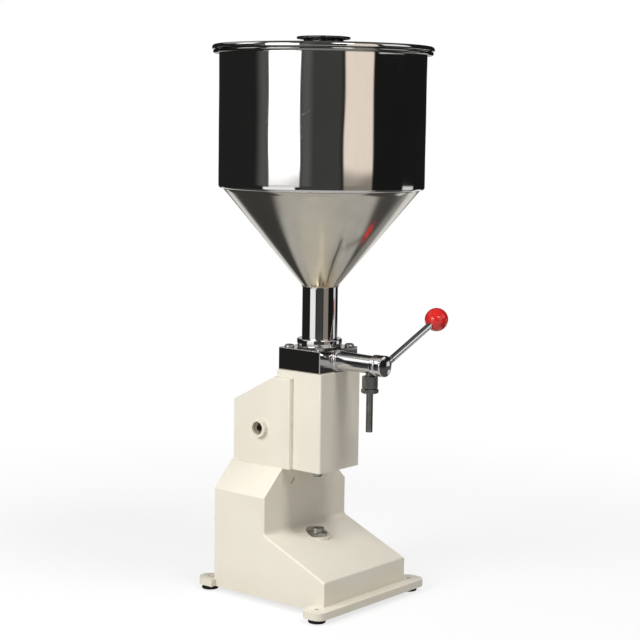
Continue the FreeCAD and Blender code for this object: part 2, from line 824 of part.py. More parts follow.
def gland_nut():
    """Bright nut on the end of the tube, with the stop pin of the valve."""
    body = along_valve("gland_nut")
    top = s.tube_reach + s.gland_width
    ring(body, s.tube_bore / 2 + s.running_clearance, s.gland_diameter / 2, s.tube_reach, top)
    half_travel = s.valve_travel / 2
    centre = (s.stop_pin_radius * sine(half_travel), -s.stop_pin_radius * cosine(half_travel))
    depth = s.gland_width / 2
    bore(body, "XY", [centre], s.stop_pin_diameter / 2 + s.seat_clearance, top - depth, top, below=0)
    pin = along_valve("stop_pin")
    rod(pin, "XY", [centre], s.stop_pin_diameter / 2, depth + s.free_clearance + s.stop_pin_reach,
        offset=top - depth)


def valve_spindle():
    """Turning plug: closed bore to the nozzle, one port down, crescent groove on the other side."""
    body = along_valve("valve_spindle")
    radius = s.tube_bore / 2 - s.running_clearance
    tail = s.free_clearance - s.tube_tail
    tip = hub_low + s.spigot_length
    spigot = s.spigot_diameter / 2
    port = s.valve_port / 2
    turn(body, [(0, tail), (radius, tail), (radius, hub_low), (spigot, hub_low), (spigot, tip), (0, tip)])
    turn(body, rectangle(0, -port / 2, s.spindle_bore / 2, nozzle_depth + port), cut=True)
    rod(body, "XZ", [(0, 0)], port, s.tube_bore, cut=True, reverse=True)
    rod(body, "XZ", [(0, nozzle_depth)], s.outlet_port / 2, s.tube_bore, cut=True, reverse=True)
    turn(body, rectangle(radius - s.crescent_depth, -port, radius + PAST, port), cut=True,
         angle=s.crescent_angle, plane="YZ", symmetric=True)
    for middle in seal_places:
        turn(body, rectangle(seal_floor, middle - seal_half, radius + PAST, middle + seal_half), cut=True)
    seals = along_valve("spindle_seals")
    for middle in seal_places:
        ring(seals, seal_floor + s.seal_clearance, s.tube_bore / 2 - s.seal_clearance,
             middle - seal_half + s.seal_clearance, middle + seal_half - s.seal_clearance)


def lever():
    """Round hub on the spindle, lever rod screwed into it, ball knob on the rod."""
    hub = along_valve("hub_blank")
    radius = s.hub_diameter / 2
    turn(hub, rectangle(0, hub_low, radius, hub_low + s.hub_width))
    round_edges(hub, s.hub_bevel, lambda edge: is_circle(edge, radius, hub_low + s.hub_width),
                kind="Chamfer")
    rod(hub, "XY", [(0, 0)], s.spigot_diameter / 2 + s.seat_clearance,
        s.spigot_length + s.free_clearance, offset=hub_low, cut=True, reverse=True)
    half_slot = s.stop_pin_diameter / 2 + s.free_clearance
    sweep = s.valve_travel + 2 * arc_tangent(half_slot / s.stop_pin_radius)
    turn(hub, rectangle(-s.stop_pin_radius - half_slot, hub_low - PAST, half_slot - s.stop_pin_radius,
                        hub_low + s.stop_pin_reach + s.free_clearance),
         cut=True, angle=sweep, plane="YZ", symmetric=True)
    del pieces["hub_blank"]
    rise = 90 - s.lever_angle
    drill = document.addObject("Part::Cylinder", "lever_drill")
    bind(drill, "Radius", s.lever_rod_diameter / 2 + s.seat_clearance)
    bind(drill, "Height", s.hub_diameter)
    place(drill, 0, -hub_middle, tube_height, Vector(0, 1, 0), rise)
    drilled = document.addObject("Part::Cut", "lever_hub")
    drilled.Base = hub
    drilled.Tool = drill
    drilled.Label = "lever_hub"
    pieces["lever_hub"] = drilled

    start = s.spigot_diameter / 2 + s.free_clearance
    ball_radius = s.ball_diameter / 2
    neck = s.lever_rod_diameter / 2
    bar = piece("lever_rod")
    place(bar, 0, -hub_middle, tube_height, Vector(0, 1, 0), rise)
    rod(bar, "XY", [(0, 0)], neck, s.ball_reach - start, offset=start)
    ball = document.addObject("Part::Sphere", "ball_blank")
    bind(ball, "Radius", ball_radius)
    place(ball, s.ball_reach * cosine(s.lever_angle), -hub_middle,
          tube_height + s.ball_reach * sine(s.lever_angle))
    socket = document.addObject("Part::Cylinder", "ball_socket")
    bind(socket, "Radius", neck + s.seat_clearance)
    bind(socket, "Height", s.ball_reach + s.free_clearance)
    place(socket, 0, -hub_middle, tube_height, Vector(0, 1, 0), rise)
    knob = document.addObject("Part::Cut", "ball_knob")
    knob.Base = ball
    knob.Tool = socket
    knob.Label = "ball_knob"
    pieces["ball_knob"] = knob


def nozzle():
    """Hexagon adaptor under the tube, nut below it, thin tube with a flange held between them."""
    adaptor = piece("nozzle_adaptor")
    place(adaptor, 0, -nozzle_depth, 0)
    high = tube_height - s.adaptor_drop
    low = high - s.adaptor_height
    neck_radius = s.adaptor_neck_diameter / 2
    tube_low = tube_height - tube_radius_at_nozzle - tube_taper * neck_radius
    stem_top = tube_height - s.tube_bore / 2 - s.adaptor_stem_gap
    flange = s.nozzle_nut_height / 2
    centre = [(0, 0)]
    prism(adaptor, "XY", hexagon(s.adaptor_across_flats), s.adaptor_height, offset=low)
    rod(adaptor, "XY", centre, neck_radius, tube_low - high - s.running_clearance, offset=high)
    rod(adaptor, "XY", centre, s.adaptor_stem / 2, stem_top - high, offset=high)
    bore(adaptor, "XY", centre, s.outlet_port / 2, low, stem_top)
    flange_radius = s.nozzle_diameter / 2 + s.nozzle_flange_width
    rod(adaptor, "XY", centre, flange_radius + s.seat_clearance, flange + PAST, offset=low - PAST,
        cut=True, reverse=True)
    nut = piece("nozzle_nut")
    place(nut, 0, -nozzle_depth, 0)
    nut_low = low - s.nozzle_nut_height
    prism(nut, "XY", hexagon(s.nozzle_nut_across_flats), s.nozzle_nut_height, offset=nut_low)
    bore(nut, "XY", centre, s.nozzle_diameter / 2 + s.seat_clearance, nut_low, low)
    tube = piece("nozzle_tube")
    place(tube, 0, -nozzle_depth, 0)
    inner, outer = s.nozzle_bore / 2, s.nozzle_diameter / 2
    neck = outer - s.nozzle_neck_relief
    mouth, shoulder = low - s.nozzle_length, nut_low - s.free_clearance
    seat, top = low + s.running_clearance, low + flange - s.free_clearance
    turn(tube, [(inner, mouth), (outer, mouth), (outer, shoulder), (neck, shoulder), (neck, seat),
                (flange_radius, seat), (flange_radius, top), (inner, top)])


# Metering cylinder, piston and rocker

def metering_cylinder():
    """Cylinder that hangs in the head by its flange, and the seal ring on its top."""
    body = piece("metering_cylinder")
    wall = s.cylinder_bore / 2
    flange = s.cylinder_flange_diameter / 2
    top = box_height
    turn(body, [(wall, cylinder_bottom), (cylinder_outer, cylinder_bottom),
                (cylinder_outer, top - s.cylinder_flange), (flange, top - s.cylinder_flange),
                (flange, top), (wall, top)])
    inner = wall + s.cylinder_seal_inset
    outer = inner + s.cylinder_seal_width
    floor = top - s.cylinder_seal_depth
    turn(body, rectangle(inner, floor, outer, top + PAST), cut=True)
    ring(piece("cylinder_seal"), inner + s.seal_clearance, outer - s.seal_clearance, floor,
         top - s.seal_clearance)


def piston():
    """Piston with two ring grooves, its rings, and the rod with nut, crosshead and cross pin."""
    radius = s.cylinder_bore / 2 - s.running_clearance
    bottom = piston_top - s.piston_length
    spigot = s.rod_spigot_diameter / 2
    spigot_top = bottom + s.rod_spigot_length
    groove = s.cylinder_bore / 2 - s.piston_ring_depth
    half = s.piston_ring_width / 2
    body = piece("piston")
    turn(body, [(0, spigot_top), (0, piston_top), (radius, piston_top), (radius, bottom),
                (spigot, bottom), (spigot, spigot_top)])
    rings = piece("piston_rings")
    for side in (-1, 1):
        middle = bottom + (s.piston_length + side * s.piston_ring_pitch) / 2
        turn(body, rectangle(groove, middle - half, radius + PAST, middle + half), cut=True)
        ring(rings, groove + s.seal_clearance, s.cylinder_bore / 2 - s.seal_clearance,
             middle - half + s.seal_clearance, middle + half - s.seal_clearance)
    bar = piece("piston_rod")
    rod_bottom = s.seam_height - s.rod_hang
    shank = s.rod_diameter / 2
    fitted = spigot - s.seat_clearance
    turn(bar, [(0, rod_bottom), (shank, rod_bottom), (shank, bottom), (fitted, bottom),
               (fitted, spigot_top), (0, spigot_top)])
    cross = s.crosshead_pin_diameter / 2
    rod(bar, "XZ", [(0, pin_height)], cross + s.seat_clearance, s.rod_diameter + PAST, cut=True,
        symmetric=True)
    nut_low = rod_bottom + s.rod_end_proud
    ring(piece("rod_nut"), shank + s.seat_clearance, s.rod_nut_diameter / 2, nut_low,
         nut_low + s.rod_nut_height)
    half_width, half_depth = s.crosshead_width / 2, s.crosshead_depth / 2
    block = piece("crosshead")
    block_low = pin_height - s.crosshead_height / 2
    prism(block, "XY", rectangle(-half_width, -half_depth, half_width, half_depth), s.crosshead_height,
          offset=block_low)
    rod(block, "YZ", [(0, pin_height)], s.trunnion_diameter / 2, 2 * (cheek_outer + s.arm_cheek_gap),
        symmetric=True)
    bore(block, "XY", [(0, 0)], shank + s.seat_clearance, block_low, block_low + s.crosshead_height)
    rod(block, "XZ", [(0, pin_height)], cross + s.seat_clearance, s.crosshead_depth + PAST, cut=True,
        symmetric=True)
    pin = piece("crosshead_pin")
    rod(pin, "XZ", [(0, pin_height)], cross, s.crosshead_depth, symmetric=True)


cheek_inner = s.crosshead_width / 2 + s.arm_cheek_gap
cheek_outer = cheek_inner + s.arm_cheek_thickness
slot_reach = s.shaft_depth / cosine(arm_tilt)
hub_half = inner_housing - s.bush_flange - s.free_clearance
shaft_end = boss_face - s.shaft_recess
arm_pin_place = shaft_end - s.handle_bore_depth - s.arm_pin_margin - s.arm_pin_diameter / 2


def on_shaft(label):
    """A body whose own origin is the shaft axis, tilted with the rocker arm at rest."""
    body = piece(label)
    place(body, 0, s.shaft_depth, shaft_height, Vector(1, 0, 0), -arm_tilt)
    return body


def rocker():
    """Forked arm on the press shaft; its slots drive the trunnions of the crosshead."""
    arm = on_shaft("rocker_arm")
    hub = s.arm_hub_diameter / 2
    cheek = s.arm_cheek_thickness
    root_half = s.arm_root_height / 2
    tip = s.arm_tip_radius
    outline = [(0, root_half), (-slot_reach, tip), (-slot_reach, -tip), (0, -root_half)]
    rod(arm, "YZ", [(0, 0)], hub, 2 * hub_half, symmetric=True)
    web = rectangle(-s.arm_web_reach, -cheek / 2, 0, cheek / 2)
    prism(arm, "YZ", web, 2 * cheek_inner + cheek, symmetric=True)
    for low in (cheek_inner, -cheek_outer):
        prism(arm, "YZ", outline, cheek, offset=low)
        rod(arm, "YZ", [(-slot_reach, 0)], tip, cheek, offset=low)
    slot = s.trunnion_diameter / 2 + s.slot_clearance
    near = s.slot_clearance - s.shaft_depth
    far = -slot_reach - s.slot_clearance
    through = 2 * (cheek_outer + PAST)
    prism(arm, "YZ", rectangle(far, -slot, near, slot), through, cut=True, symmetric=True)
    rod(arm, "YZ", [(near, 0)], slot, through, cut=True, symmetric=True)
    rod(arm, "YZ", [(far, 0)], slot, through, cut=True, symmetric=True)
    rod(arm, "YZ", [(0, 0)], s.shaft_diameter / 2 + s.seat_clearance, 2 * (hub_half + PAST), cut=True,
        symmetric=True)
    pin_radius = s.arm_pin_diameter / 2
    rod(arm, "XY", [(arm_pin_place, 0)], pin_radius + s.seat_clearance, s.arm_hub_diameter + PAST,
        cut=True, symmetric=True)
    rod(on_shaft("arm_pin"), "XY", [(arm_pin_place, 0)], pin_radius, s.arm_hub_diameter, symmetric=True)

    shaft = on_shaft("press_shaft")
    rod(shaft, "YZ", [(0, 0)], s.shaft_diameter / 2, 2 * shaft_end, symmetric=True)
    rod(shaft, "XY", [(arm_pin_place, 0)], pin_radius + s.seat_clearance, s.shaft_diameter + PAST,
        cut=True, symmetric=True)
    half_key = s.handle_keyway / 2
    key_top = s.handle_bore / 2 + half_key
    for start, backward in ((shaft_end, False), (-shaft_end, True)):
        rod(shaft, "YZ", [(0, 0)], s.handle_bore / 2, s.handle_bore_depth, offset=start, cut=True,
            reverse=backward)
        prism(shaft, "YZ", rectangle(-half_key, 0, half_key, key_top), s.handle_bore_depth,
              offset=start, cut=True, reverse=backward)

    bushes = piece("shaft_bushes")
    centre = (s.shaft_depth, shaft_height)
    running = s.shaft_diameter / 2 + s.running_clearance
    barrel = shaft_end - inner_housing - s.free_clearance
    for start, length, radius in ((inner_housing, barrel, bush_outer),
                                  (inner_housing - s.bush_flange, s.bush_flange,
                                   bush_outer + s.bush_flange)):
        for place_x, backward in ((start, False), (-start, True)):
            sketch = sketch_on(bushes, "YZ", place_x)
            add_circle(sketch, *centre, radius)
            add_circle(sketch, *centre, running)
            extrude(bushes, sketch, length, reverse=backward)

    guide = piece("guide_bush")
    inner = s.rod_diameter / 2 + s.running_clearance
    outer = s.rod_diameter / 2 + s.bush_wall
    top = guide_height + s.guide_thickness
    collar, collar_top = outer + s.bush_flange, top + s.bush_flange
    turn(guide, [(inner, guide_height), (outer, guide_height), (outer, top), (collar, top),
                 (collar, collar_top), (inner, collar_top)])


# Hopper and lid

neck_bottom = block_top + s.gasket_thickness
neck_top = neck_bottom + s.neck_length
cone_top = neck_top + s.cone_length
barrel_top = cone_top + s.barrel_length


def hopper():
    """Gasket, collar, neck pipe, cone, barrel and rolled rim, one above the other."""
    neck = s.neck_diameter / 2
    outer = s.hopper_diameter / 2
    sheet_wall = s.sheet_thickness
    ring(piece("hopper_gasket"), s.hopper_port / 2, s.collar_diameter / 2 - s.gasket_margin, block_top,
         neck_bottom)
    ring(piece("hopper_collar"), neck + s.seat_clearance, s.collar_diameter / 2, neck_bottom,
         neck_bottom + s.collar_height)
    ring(piece("hopper_neck"), neck - s.neck_wall, neck, neck_bottom, neck_top)
    flare = (outer - neck) / s.cone_length
    skin = sheet_wall * root(1 + flare * flare)
    turn(piece("hopper_cone"), [(neck - skin, neck_top), (neck, neck_top), (outer, cone_top),
                                (outer - skin, cone_top)])
    ring(piece("hopper_barrel"), outer - sheet_wall, outer, cone_top, barrel_top)
    rim = piece("hopper_rim")
    ring(rim, outer - sheet_wall, outer + s.rim_width, barrel_top, barrel_top + s.rim_height)
    round_edges(rim, s.rim_bevel, lambda edge: is_circle(edge, outer + s.rim_width), kind="Chamfer")


def lid():
    """Low domed lid with a raised edge, a skirt inside the barrel, and its round knob."""
    edge = s.hopper_diameter / 2 + s.rim_width + s.lid_overhang
    low = barrel_top + s.rim_height + s.lid_gap
    sheet_wall = s.sheet_thickness
    bead = edge - s.lid_bead
    foot = s.knob_body_diameter / 2 + s.lid_crown_margin
    body = piece("lid")
    hole = s.knob_screw_diameter / 2 + s.free_clearance
    rise = s.lid_edge_height
    turn(body, [(hole, low + rise), (foot, low + rise), (bead - s.lid_bead, low), (edge, low),
                (edge, low + s.lid_edge_height), (bead, low + s.lid_edge_height),
                (bead, low + sheet_wall), (bead - s.lid_bead, low + sheet_wall),
                (foot, low + rise + sheet_wall), (hole, low + rise + sheet_wall)])
    skirt = s.hopper_diameter / 2 - sheet_wall - s.lid_skirt_gap
    ring(body, skirt - sheet_wall, skirt, barrel_top - s.lid_skirt, low + sheet_wall)
    base = low + rise + sheet_wall
    brim, grip = s.knob_diameter / 2, s.knob_body_diameter / 2
    top = base + s.knob_height
    screw = s.knob_screw_diameter / 2
    hole, screw_top = screw + s.seat_clearance, base + s.knob_screw_reach
    turn(piece("lid_knob"), [(hole, base), (grip, base), (grip, base + s.knob_waist_height),
                             (brim, base + s.knob_brim_low), (brim, base + s.knob_brim_high),
                             (s.knob_top_diameter / 2, top), (0, top),
                             (0, screw_top + s.free_clearance), (hole, screw_top + s.free_clearance)])
    head_low = low + rise - screw
    turn(piece("knob_screw"), [(0, head_low), (2 * screw, head_low), (2 * screw, low + rise),
                               (screw, low + rise), (screw, screw_top), (0, screw_top)])


# Socket on the ramp

def post_socket():
    """Upright sleeve for a round post, held in the ramp by a hexagon nut."""
    body = piece("post_socket")
    place(body, 0, -s.socket_depth, 0)
    outer = s.socket_diameter / 2
    inner = s.socket_bore / 2
    floor = socket_top - s.socket_bore_depth
    turn(body, [(0, socket_bottom), (outer, socket_bottom), (outer, socket_top),
                (inner, socket_top), (inner, floor), (0, floor)])
    nut = piece("socket_nut")
    place(nut, 0, -s.socket_depth, 0)
    prism(nut, "XY", hexagon(s.socket_nut_across_flats), s.socket_nut_height, offset=pad_height)
    bore(nut, "XY", [(0, 0)], outer + s.seat_clearance, pad_height, pad_height + s.socket_nut_height)


for make in (base_casting, feet, head_casting, rear_cover, fasteners, valve_block, valve_tube,
             gland_nut, valve_spindle, lever, nozzle, metering_cylinder, piston, rocker, hopper, lid,
             post_socket):
    make()
document.recompute()


# Check and write

def export_pieces():
    """Stop on any failed object, then write one file for each piece."""
    failed = [o.Name for o in document.Objects if "Invalid" in o.State or "Error" in o.State]
    for label, body in pieces.items():
        if body.Shape.isNull() or not body.Shape.isValid() or not body.Shape.Solids:
            failed.append(label)
    if failed:
        raise RuntimeError("failed objects: %s" % ", ".join(sorted(set(failed))))
    os.makedirs("parts", exist_ok=True)
    for label, body in pieces.items():
        body.Shape.exportStep("parts/%s.step" % label)


export_pieces()
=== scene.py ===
"""Looks of a hand-worked liquid filling machine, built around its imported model.

Metres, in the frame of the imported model: +Z is up, the front of the machine looks along -Y and the
hopper, the valve block and the metering cylinder share the Z axis. Each sub-assembly is a class that
builds its own surfaces with numpy and dresses them in finishes made of shader nodes.
"""
import logging
import math
from dataclasses import dataclass, field
from enum import Enum
from typing import Any, Callable, Iterable, Sequence

import bmesh
import bpy
import numpy as np
from mathutils import Matrix, Vector


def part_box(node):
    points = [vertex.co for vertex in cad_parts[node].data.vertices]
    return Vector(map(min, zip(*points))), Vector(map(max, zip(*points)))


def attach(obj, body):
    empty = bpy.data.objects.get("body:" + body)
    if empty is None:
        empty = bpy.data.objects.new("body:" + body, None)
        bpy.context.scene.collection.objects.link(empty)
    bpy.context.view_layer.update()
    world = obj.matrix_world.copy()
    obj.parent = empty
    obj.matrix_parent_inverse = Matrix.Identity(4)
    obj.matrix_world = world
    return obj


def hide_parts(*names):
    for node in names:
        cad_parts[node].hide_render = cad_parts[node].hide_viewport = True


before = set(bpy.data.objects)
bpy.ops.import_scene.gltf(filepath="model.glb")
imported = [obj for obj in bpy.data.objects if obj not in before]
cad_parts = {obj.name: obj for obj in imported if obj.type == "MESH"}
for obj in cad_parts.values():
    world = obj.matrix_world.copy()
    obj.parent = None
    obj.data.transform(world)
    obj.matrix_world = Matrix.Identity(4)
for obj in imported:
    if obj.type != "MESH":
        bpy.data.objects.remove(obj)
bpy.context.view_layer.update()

LOG = logging.getLogger("filling_machine")
MM = 0.001
TURN = 2.0 * math.pi
Colour = tuple[float, float, float]


class Body(Enum):
    """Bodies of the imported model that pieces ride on."""

    FRAME = "frame"
    VALVE = "valve"
    PRESS = "press"
    PLUNGER = "plunger"
    LID = "hopper_lid"


# Surfaces


@dataclass(frozen=True)
class Seat:
    """Origin and three directions that carry a shape from its own axes to its place."""

    origin: tuple[float, float, float] = (0.0, 0.0, 0.0)
    along: tuple[float, float, float] = (0.0, 0.0, 1.0)
    start: tuple[float, float, float] = (1.0, 0.0, 0.0)

    def carry(self, points: np.ndarray) -> np.ndarray:
        """Turn points so that their own Z runs along `along`, then move them to the origin.

        Args:
            points: Array of points, its last axis three long.

        Returns:
            Array of the same shape.
        """
        third = np.array(self.along, float)
        third /= np.linalg.norm(third)
        first = np.array(self.start, float)
        first -= third * first.dot(third)
        first /= np.linalg.norm(first)
        turn = np.stack([first, np.cross(third, first), third])
        return points @ turn + np.array(self.origin, float)


def rounded(points: Sequence[tuple[float, float]], radii: Sequence[float] | float, closed: bool = True,
            steps: int = 6) -> np.ndarray:
    """Outline whose corners are arcs.

    Each corner is cut back by radius over the tangent of half its angle, and the two cut points are
    joined by an arc, worked out for all corners at once by turning between its two end radii.

    Args:
        points: Corners in order.
        radii: Radius of each corner, or one radius for all.
        closed: Whether the last corner is joined to the first.
        steps: Points on each arc.

    Returns:
        Array of (corners * steps, 2) points.
    """
    corner = np.array(points, float)
    radius = np.broadcast_to(np.array(radii, float), (len(corner),)).copy()
    if not closed:
        radius[[0, -1]] = 0.0
    back = np.roll(corner, 1, 0) - corner
    ahead = np.roll(corner, -1, 0) - corner
    back /= np.maximum(np.linalg.norm(back, axis=1), 1e-12)[:, None]
    ahead /= np.maximum(np.linalg.norm(ahead, axis=1), 1e-12)[:, None]
    angle = np.arccos(np.clip((back * ahead).sum(1), -1.0, 1.0))
    flat = (angle > math.pi - 1e-4) | (angle < 1e-4) | (radius <= 0.0)
    safe = np.where(flat, math.pi / 2, angle)
    cut = np.where(flat, 0.0, radius / np.tan(safe / 2))
    middle = back + ahead
    middle /= np.maximum(np.linalg.norm(middle, axis=1), 1e-12)[:, None]
    centre = corner + middle * np.where(flat, 0.0, radius / np.sin(safe / 2))[:, None]
    first = corner + back * cut[:, None] - centre
    last = corner + ahead * cut[:, None] - centre
    sweep = (math.pi - safe)[:, None, None]
    share = np.linspace(0.0, 1.0, steps)[None, :, None]
    blend = (np.sin((1 - share) * sweep) * first[:, None] + np.sin(share * sweep) * last[:, None])
    arc = centre[:, None] + blend / np.sin(sweep)
    arc = np.where(flat[:, None, None], corner[:, None], arc)
    if not closed:
        inner = arc[1:-1].reshape(-1, 2)
        return np.concatenate([corner[:1], inner, corner[-1:]])
    return arc.reshape(-1, 2)


def densified(profile: np.ndarray, longest: float, closed: bool = False) -> np.ndarray:
    """Profile with its long runs divided evenly.

    Args:
        profile: Array of (n, 2) points.
        longest: Longest run that may stay.
        closed: Whether the last point is joined to the first.

    Returns:
        Array with more points, on the same line.
    """
    ends = np.roll(profile, -1, 0) if closed else profile[1:]
    starts = profile if closed else profile[:-1]
    counts = np.maximum(np.ceil(np.linalg.norm(ends - starts, axis=1) / longest).astype(int), 1)
    index = np.repeat(np.arange(len(starts)), counts)
    share = (np.arange(len(index)) - np.repeat(np.cumsum(counts) - counts, counts)) / counts[index]
    inner = starts[index] + (ends - starts)[index] * share[:, None]
    return inner if closed else np.concatenate([inner, profile[-1:]])


def mesh_object(name: str, points: np.ndarray, closed_rows: bool = False, closed_columns: bool = True,
                crease: float = 35.0) -> bpy.types.Object:
    """Object whose quads join neighbours on a grid of points.

    Points that coincide, as at a pole or a seam, are merged, and all faces are turned outwards when
    the volume between them and the origin, summed with its sign, comes out negative.

    Args:
        name: Name of the object.
        points: Array of (rows, columns, 3) points.
        closed_rows: Whether the last row joins the first.
        closed_columns: Whether the last column joins the first.
        crease: Edges that turn by more degrees than this stay sharp.

    Returns:
        The new object, at the origin and linked to the scene.
    """
    rows, columns = points.shape[:2]
    index = np.arange(rows * columns).reshape(rows, columns)
    below = index if closed_rows else index[:-1]
    above = np.roll(index, -1, 0) if closed_rows else index[1:]
    if closed_columns:
        corners = [below, np.roll(below, -1, 1), np.roll(above, -1, 1), above]
    else:
        corners = [below[:, :-1], below[:, 1:], above[:, 1:], above[:, :-1]]
    quads = np.stack(corners, -1).reshape(-1, 4)
    flat = points.reshape(-1, 3)
    a, b, c, d = (flat[quads[:, i]] for i in range(4))
    volume = (a * np.cross(b, c)).sum() + (a * np.cross(c, d)).sum()
    if volume < 0:
        quads = quads[:, ::-1]
    mesh = bpy.data.meshes.new(name)
    mesh.from_pydata(flat, [], quads)
    tidy = bmesh.new()
    tidy.from_mesh(mesh)
    bmesh.ops.remove_doubles(tidy, verts=tidy.verts, dist=1e-6)
    bmesh.ops.dissolve_degenerate(tidy, edges=tidy.edges, dist=1e-7)
    tidy.to_mesh(mesh)
    tidy.free()
    return finished(name, mesh, crease)


def finished(name: str, mesh: bpy.types.Mesh, crease: float) -> bpy.types.Object:
    """Object of a mesh, shaded smooth between edges sharper than the crease angle."""
    mesh.shade_smooth()
    mesh.set_sharp_from_angle(angle=math.radians(crease))
    made = bpy.data.objects.new(name, mesh)
    bpy.context.scene.collection.objects.link(made)
    return made


def around(count: int) -> np.ndarray:
    """Even angles of one full turn."""
    return np.arange(count) * TURN / count


def revolved(name: str, profile: np.ndarray, seat: Seat = Seat(), count: int = 96, closed: bool = True,
             ripple: Callable[[np.ndarray, np.ndarray], np.ndarray] | None = None,
             crease: float = 35.0) -> bpy.types.Object:
    """Turned piece: each profile point (radius, height) goes round the seat's axis.

    Args:
        name: Name of the object.
        profile: Array of (n, 2) radii and heights.
        seat: Where the axis lies.
        count: Points round the axis.
        closed: True for a ring, False for a profile that starts and ends on the axis.
        ripple: Adds to the radius, from arrays of angle and height.
        crease: Crease angle in degrees.

    Returns:
        The new object.
    """
    angle = around(count)[None, :]
    radius, height = profile[:, :1], profile[:, 1:]
    if ripple is not None:
        radius = radius + ripple(angle, height) * (radius > 1e-6)
    wide = np.broadcast_to(radius, (len(profile), count))
    tall = np.broadcast_to(height, (len(profile), count))
    points = np.stack([wide * np.cos(angle), wide * np.sin(angle), tall], -1)
    return mesh_object(name, seat.carry(points), closed_rows=closed, crease=crease)


def hexagonal(name: str, across: float, low: float, high: float, hole: float, bevel: float,
              seat: Seat = Seat(), count: int = 144, turned: float = 0.0) -> bpy.types.Object:
    """Hexagon nut with turned corners.

    The radius at an angle is the flat's distance over the cosine of the angle from the flat's middle,
    limited by a cone of 30 degrees that starts a little inside the flats at both ends.

    Args:
        name: Name of the object.
        across: Size across flats.
        low: Height of the lower face.
        high: Height of the upper face.
        hole: Radius of the hole, zero for none.
        bevel: How far inside the flats the end faces reach.
        seat: Where the axis lies.
        count: Points round the axis.
        turned: Angle of the first flat in radians.

    Returns:
        The new object.
    """
    angle = around(count)[None, :]
    flat = across / 2
    from_middle = np.mod(angle - turned + math.pi / 6, math.pi / 3) - math.pi / 6
    hexagon = flat / np.cos(from_middle)
    reach = flat * (2 / math.sqrt(3.0) - 1) + bevel
    depth = np.linspace(0.0, reach * math.tan(math.radians(30.0)), 7)
    heights = np.concatenate([low + depth, (high - depth)[::-1]])[:, None]
    near_end = np.minimum(heights - low, high - heights)
    limit = flat - bevel + near_end / math.tan(math.radians(30.0))
    radius = np.minimum(hexagon, limit)
    inner = np.full((1, count), hole)
    radius = np.concatenate([inner, radius, inner])
    heights = np.concatenate([[[low]], heights, [[high]]])
    tall = np.broadcast_to(heights, radius.shape)
    points = np.stack([radius * np.cos(angle), radius * np.sin(angle), tall], -1)
    return mesh_object(name, seat.carry(points), closed_rows=hole > 0, crease=25.0)


def joined(name: str, parts: Sequence[bpy.types.Object], crease: float = 35.0) -> bpy.types.Object:
    """One object from several closed shells that belong to one piece."""
    together = bmesh.new()
    for part in parts:
        together.from_mesh(part.data)
        bpy.data.objects.remove(part)
    mesh = bpy.data.meshes.new(name)
    together.to_mesh(mesh)
    together.free()
    return finished(name, mesh, crease)


def copied(name: str, node: str, bevel: float, segments: int = 3, crease: float = 30.0,
           flat: float = 1.0) -> bpy.types.Object:
    """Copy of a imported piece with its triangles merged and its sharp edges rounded.

    Args:
        name: Name of the object.
        node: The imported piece.
        bevel: Width of the rounding.
        segments: Steps across the rounding.
        crease: Edges that turn by more degrees than this are rounded.
        flat: Faces that turn by fewer degrees than this are merged.

    Returns:
        The new object.
    """
    mesh = bpy.data.meshes.new(name)
    source = bmesh.new()
    source.from_mesh(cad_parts[node].data)
    bmesh.ops.remove_doubles(source, verts=source.verts, dist=2e-6)
    bmesh.ops.dissolve_limit(source, angle_limit=math.radians(flat), verts=source.verts,
                             edges=source.edges)
    source.to_mesh(mesh)
    source.free()
    made = finished(name, mesh, crease)
    rounding = made.modifiers.new("rounding", "BEVEL")
    rounding.width = bevel
    rounding.segments = segments
    rounding.limit_method = "ANGLE"
    rounding.angle_limit = math.radians(crease)
    rounding.use_clamp_overlap = True
    rounding.harden_normals = True
    return made


@dataclass(frozen=True)
class Extent:
    """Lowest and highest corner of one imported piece."""

    low: Vector
    high: Vector

    @classmethod
    def of(cls, node: str) -> "Extent":
        """Extent of the named piece at rest."""
        return cls(*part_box(node))

    @property
    def middle(self) -> Vector:
        """Middle of the box."""
        return (self.low + self.high) / 2

    @property
    def size(self) -> Vector:
        """Lengths of the box."""
        return self.high - self.low


# Shader arithmetic


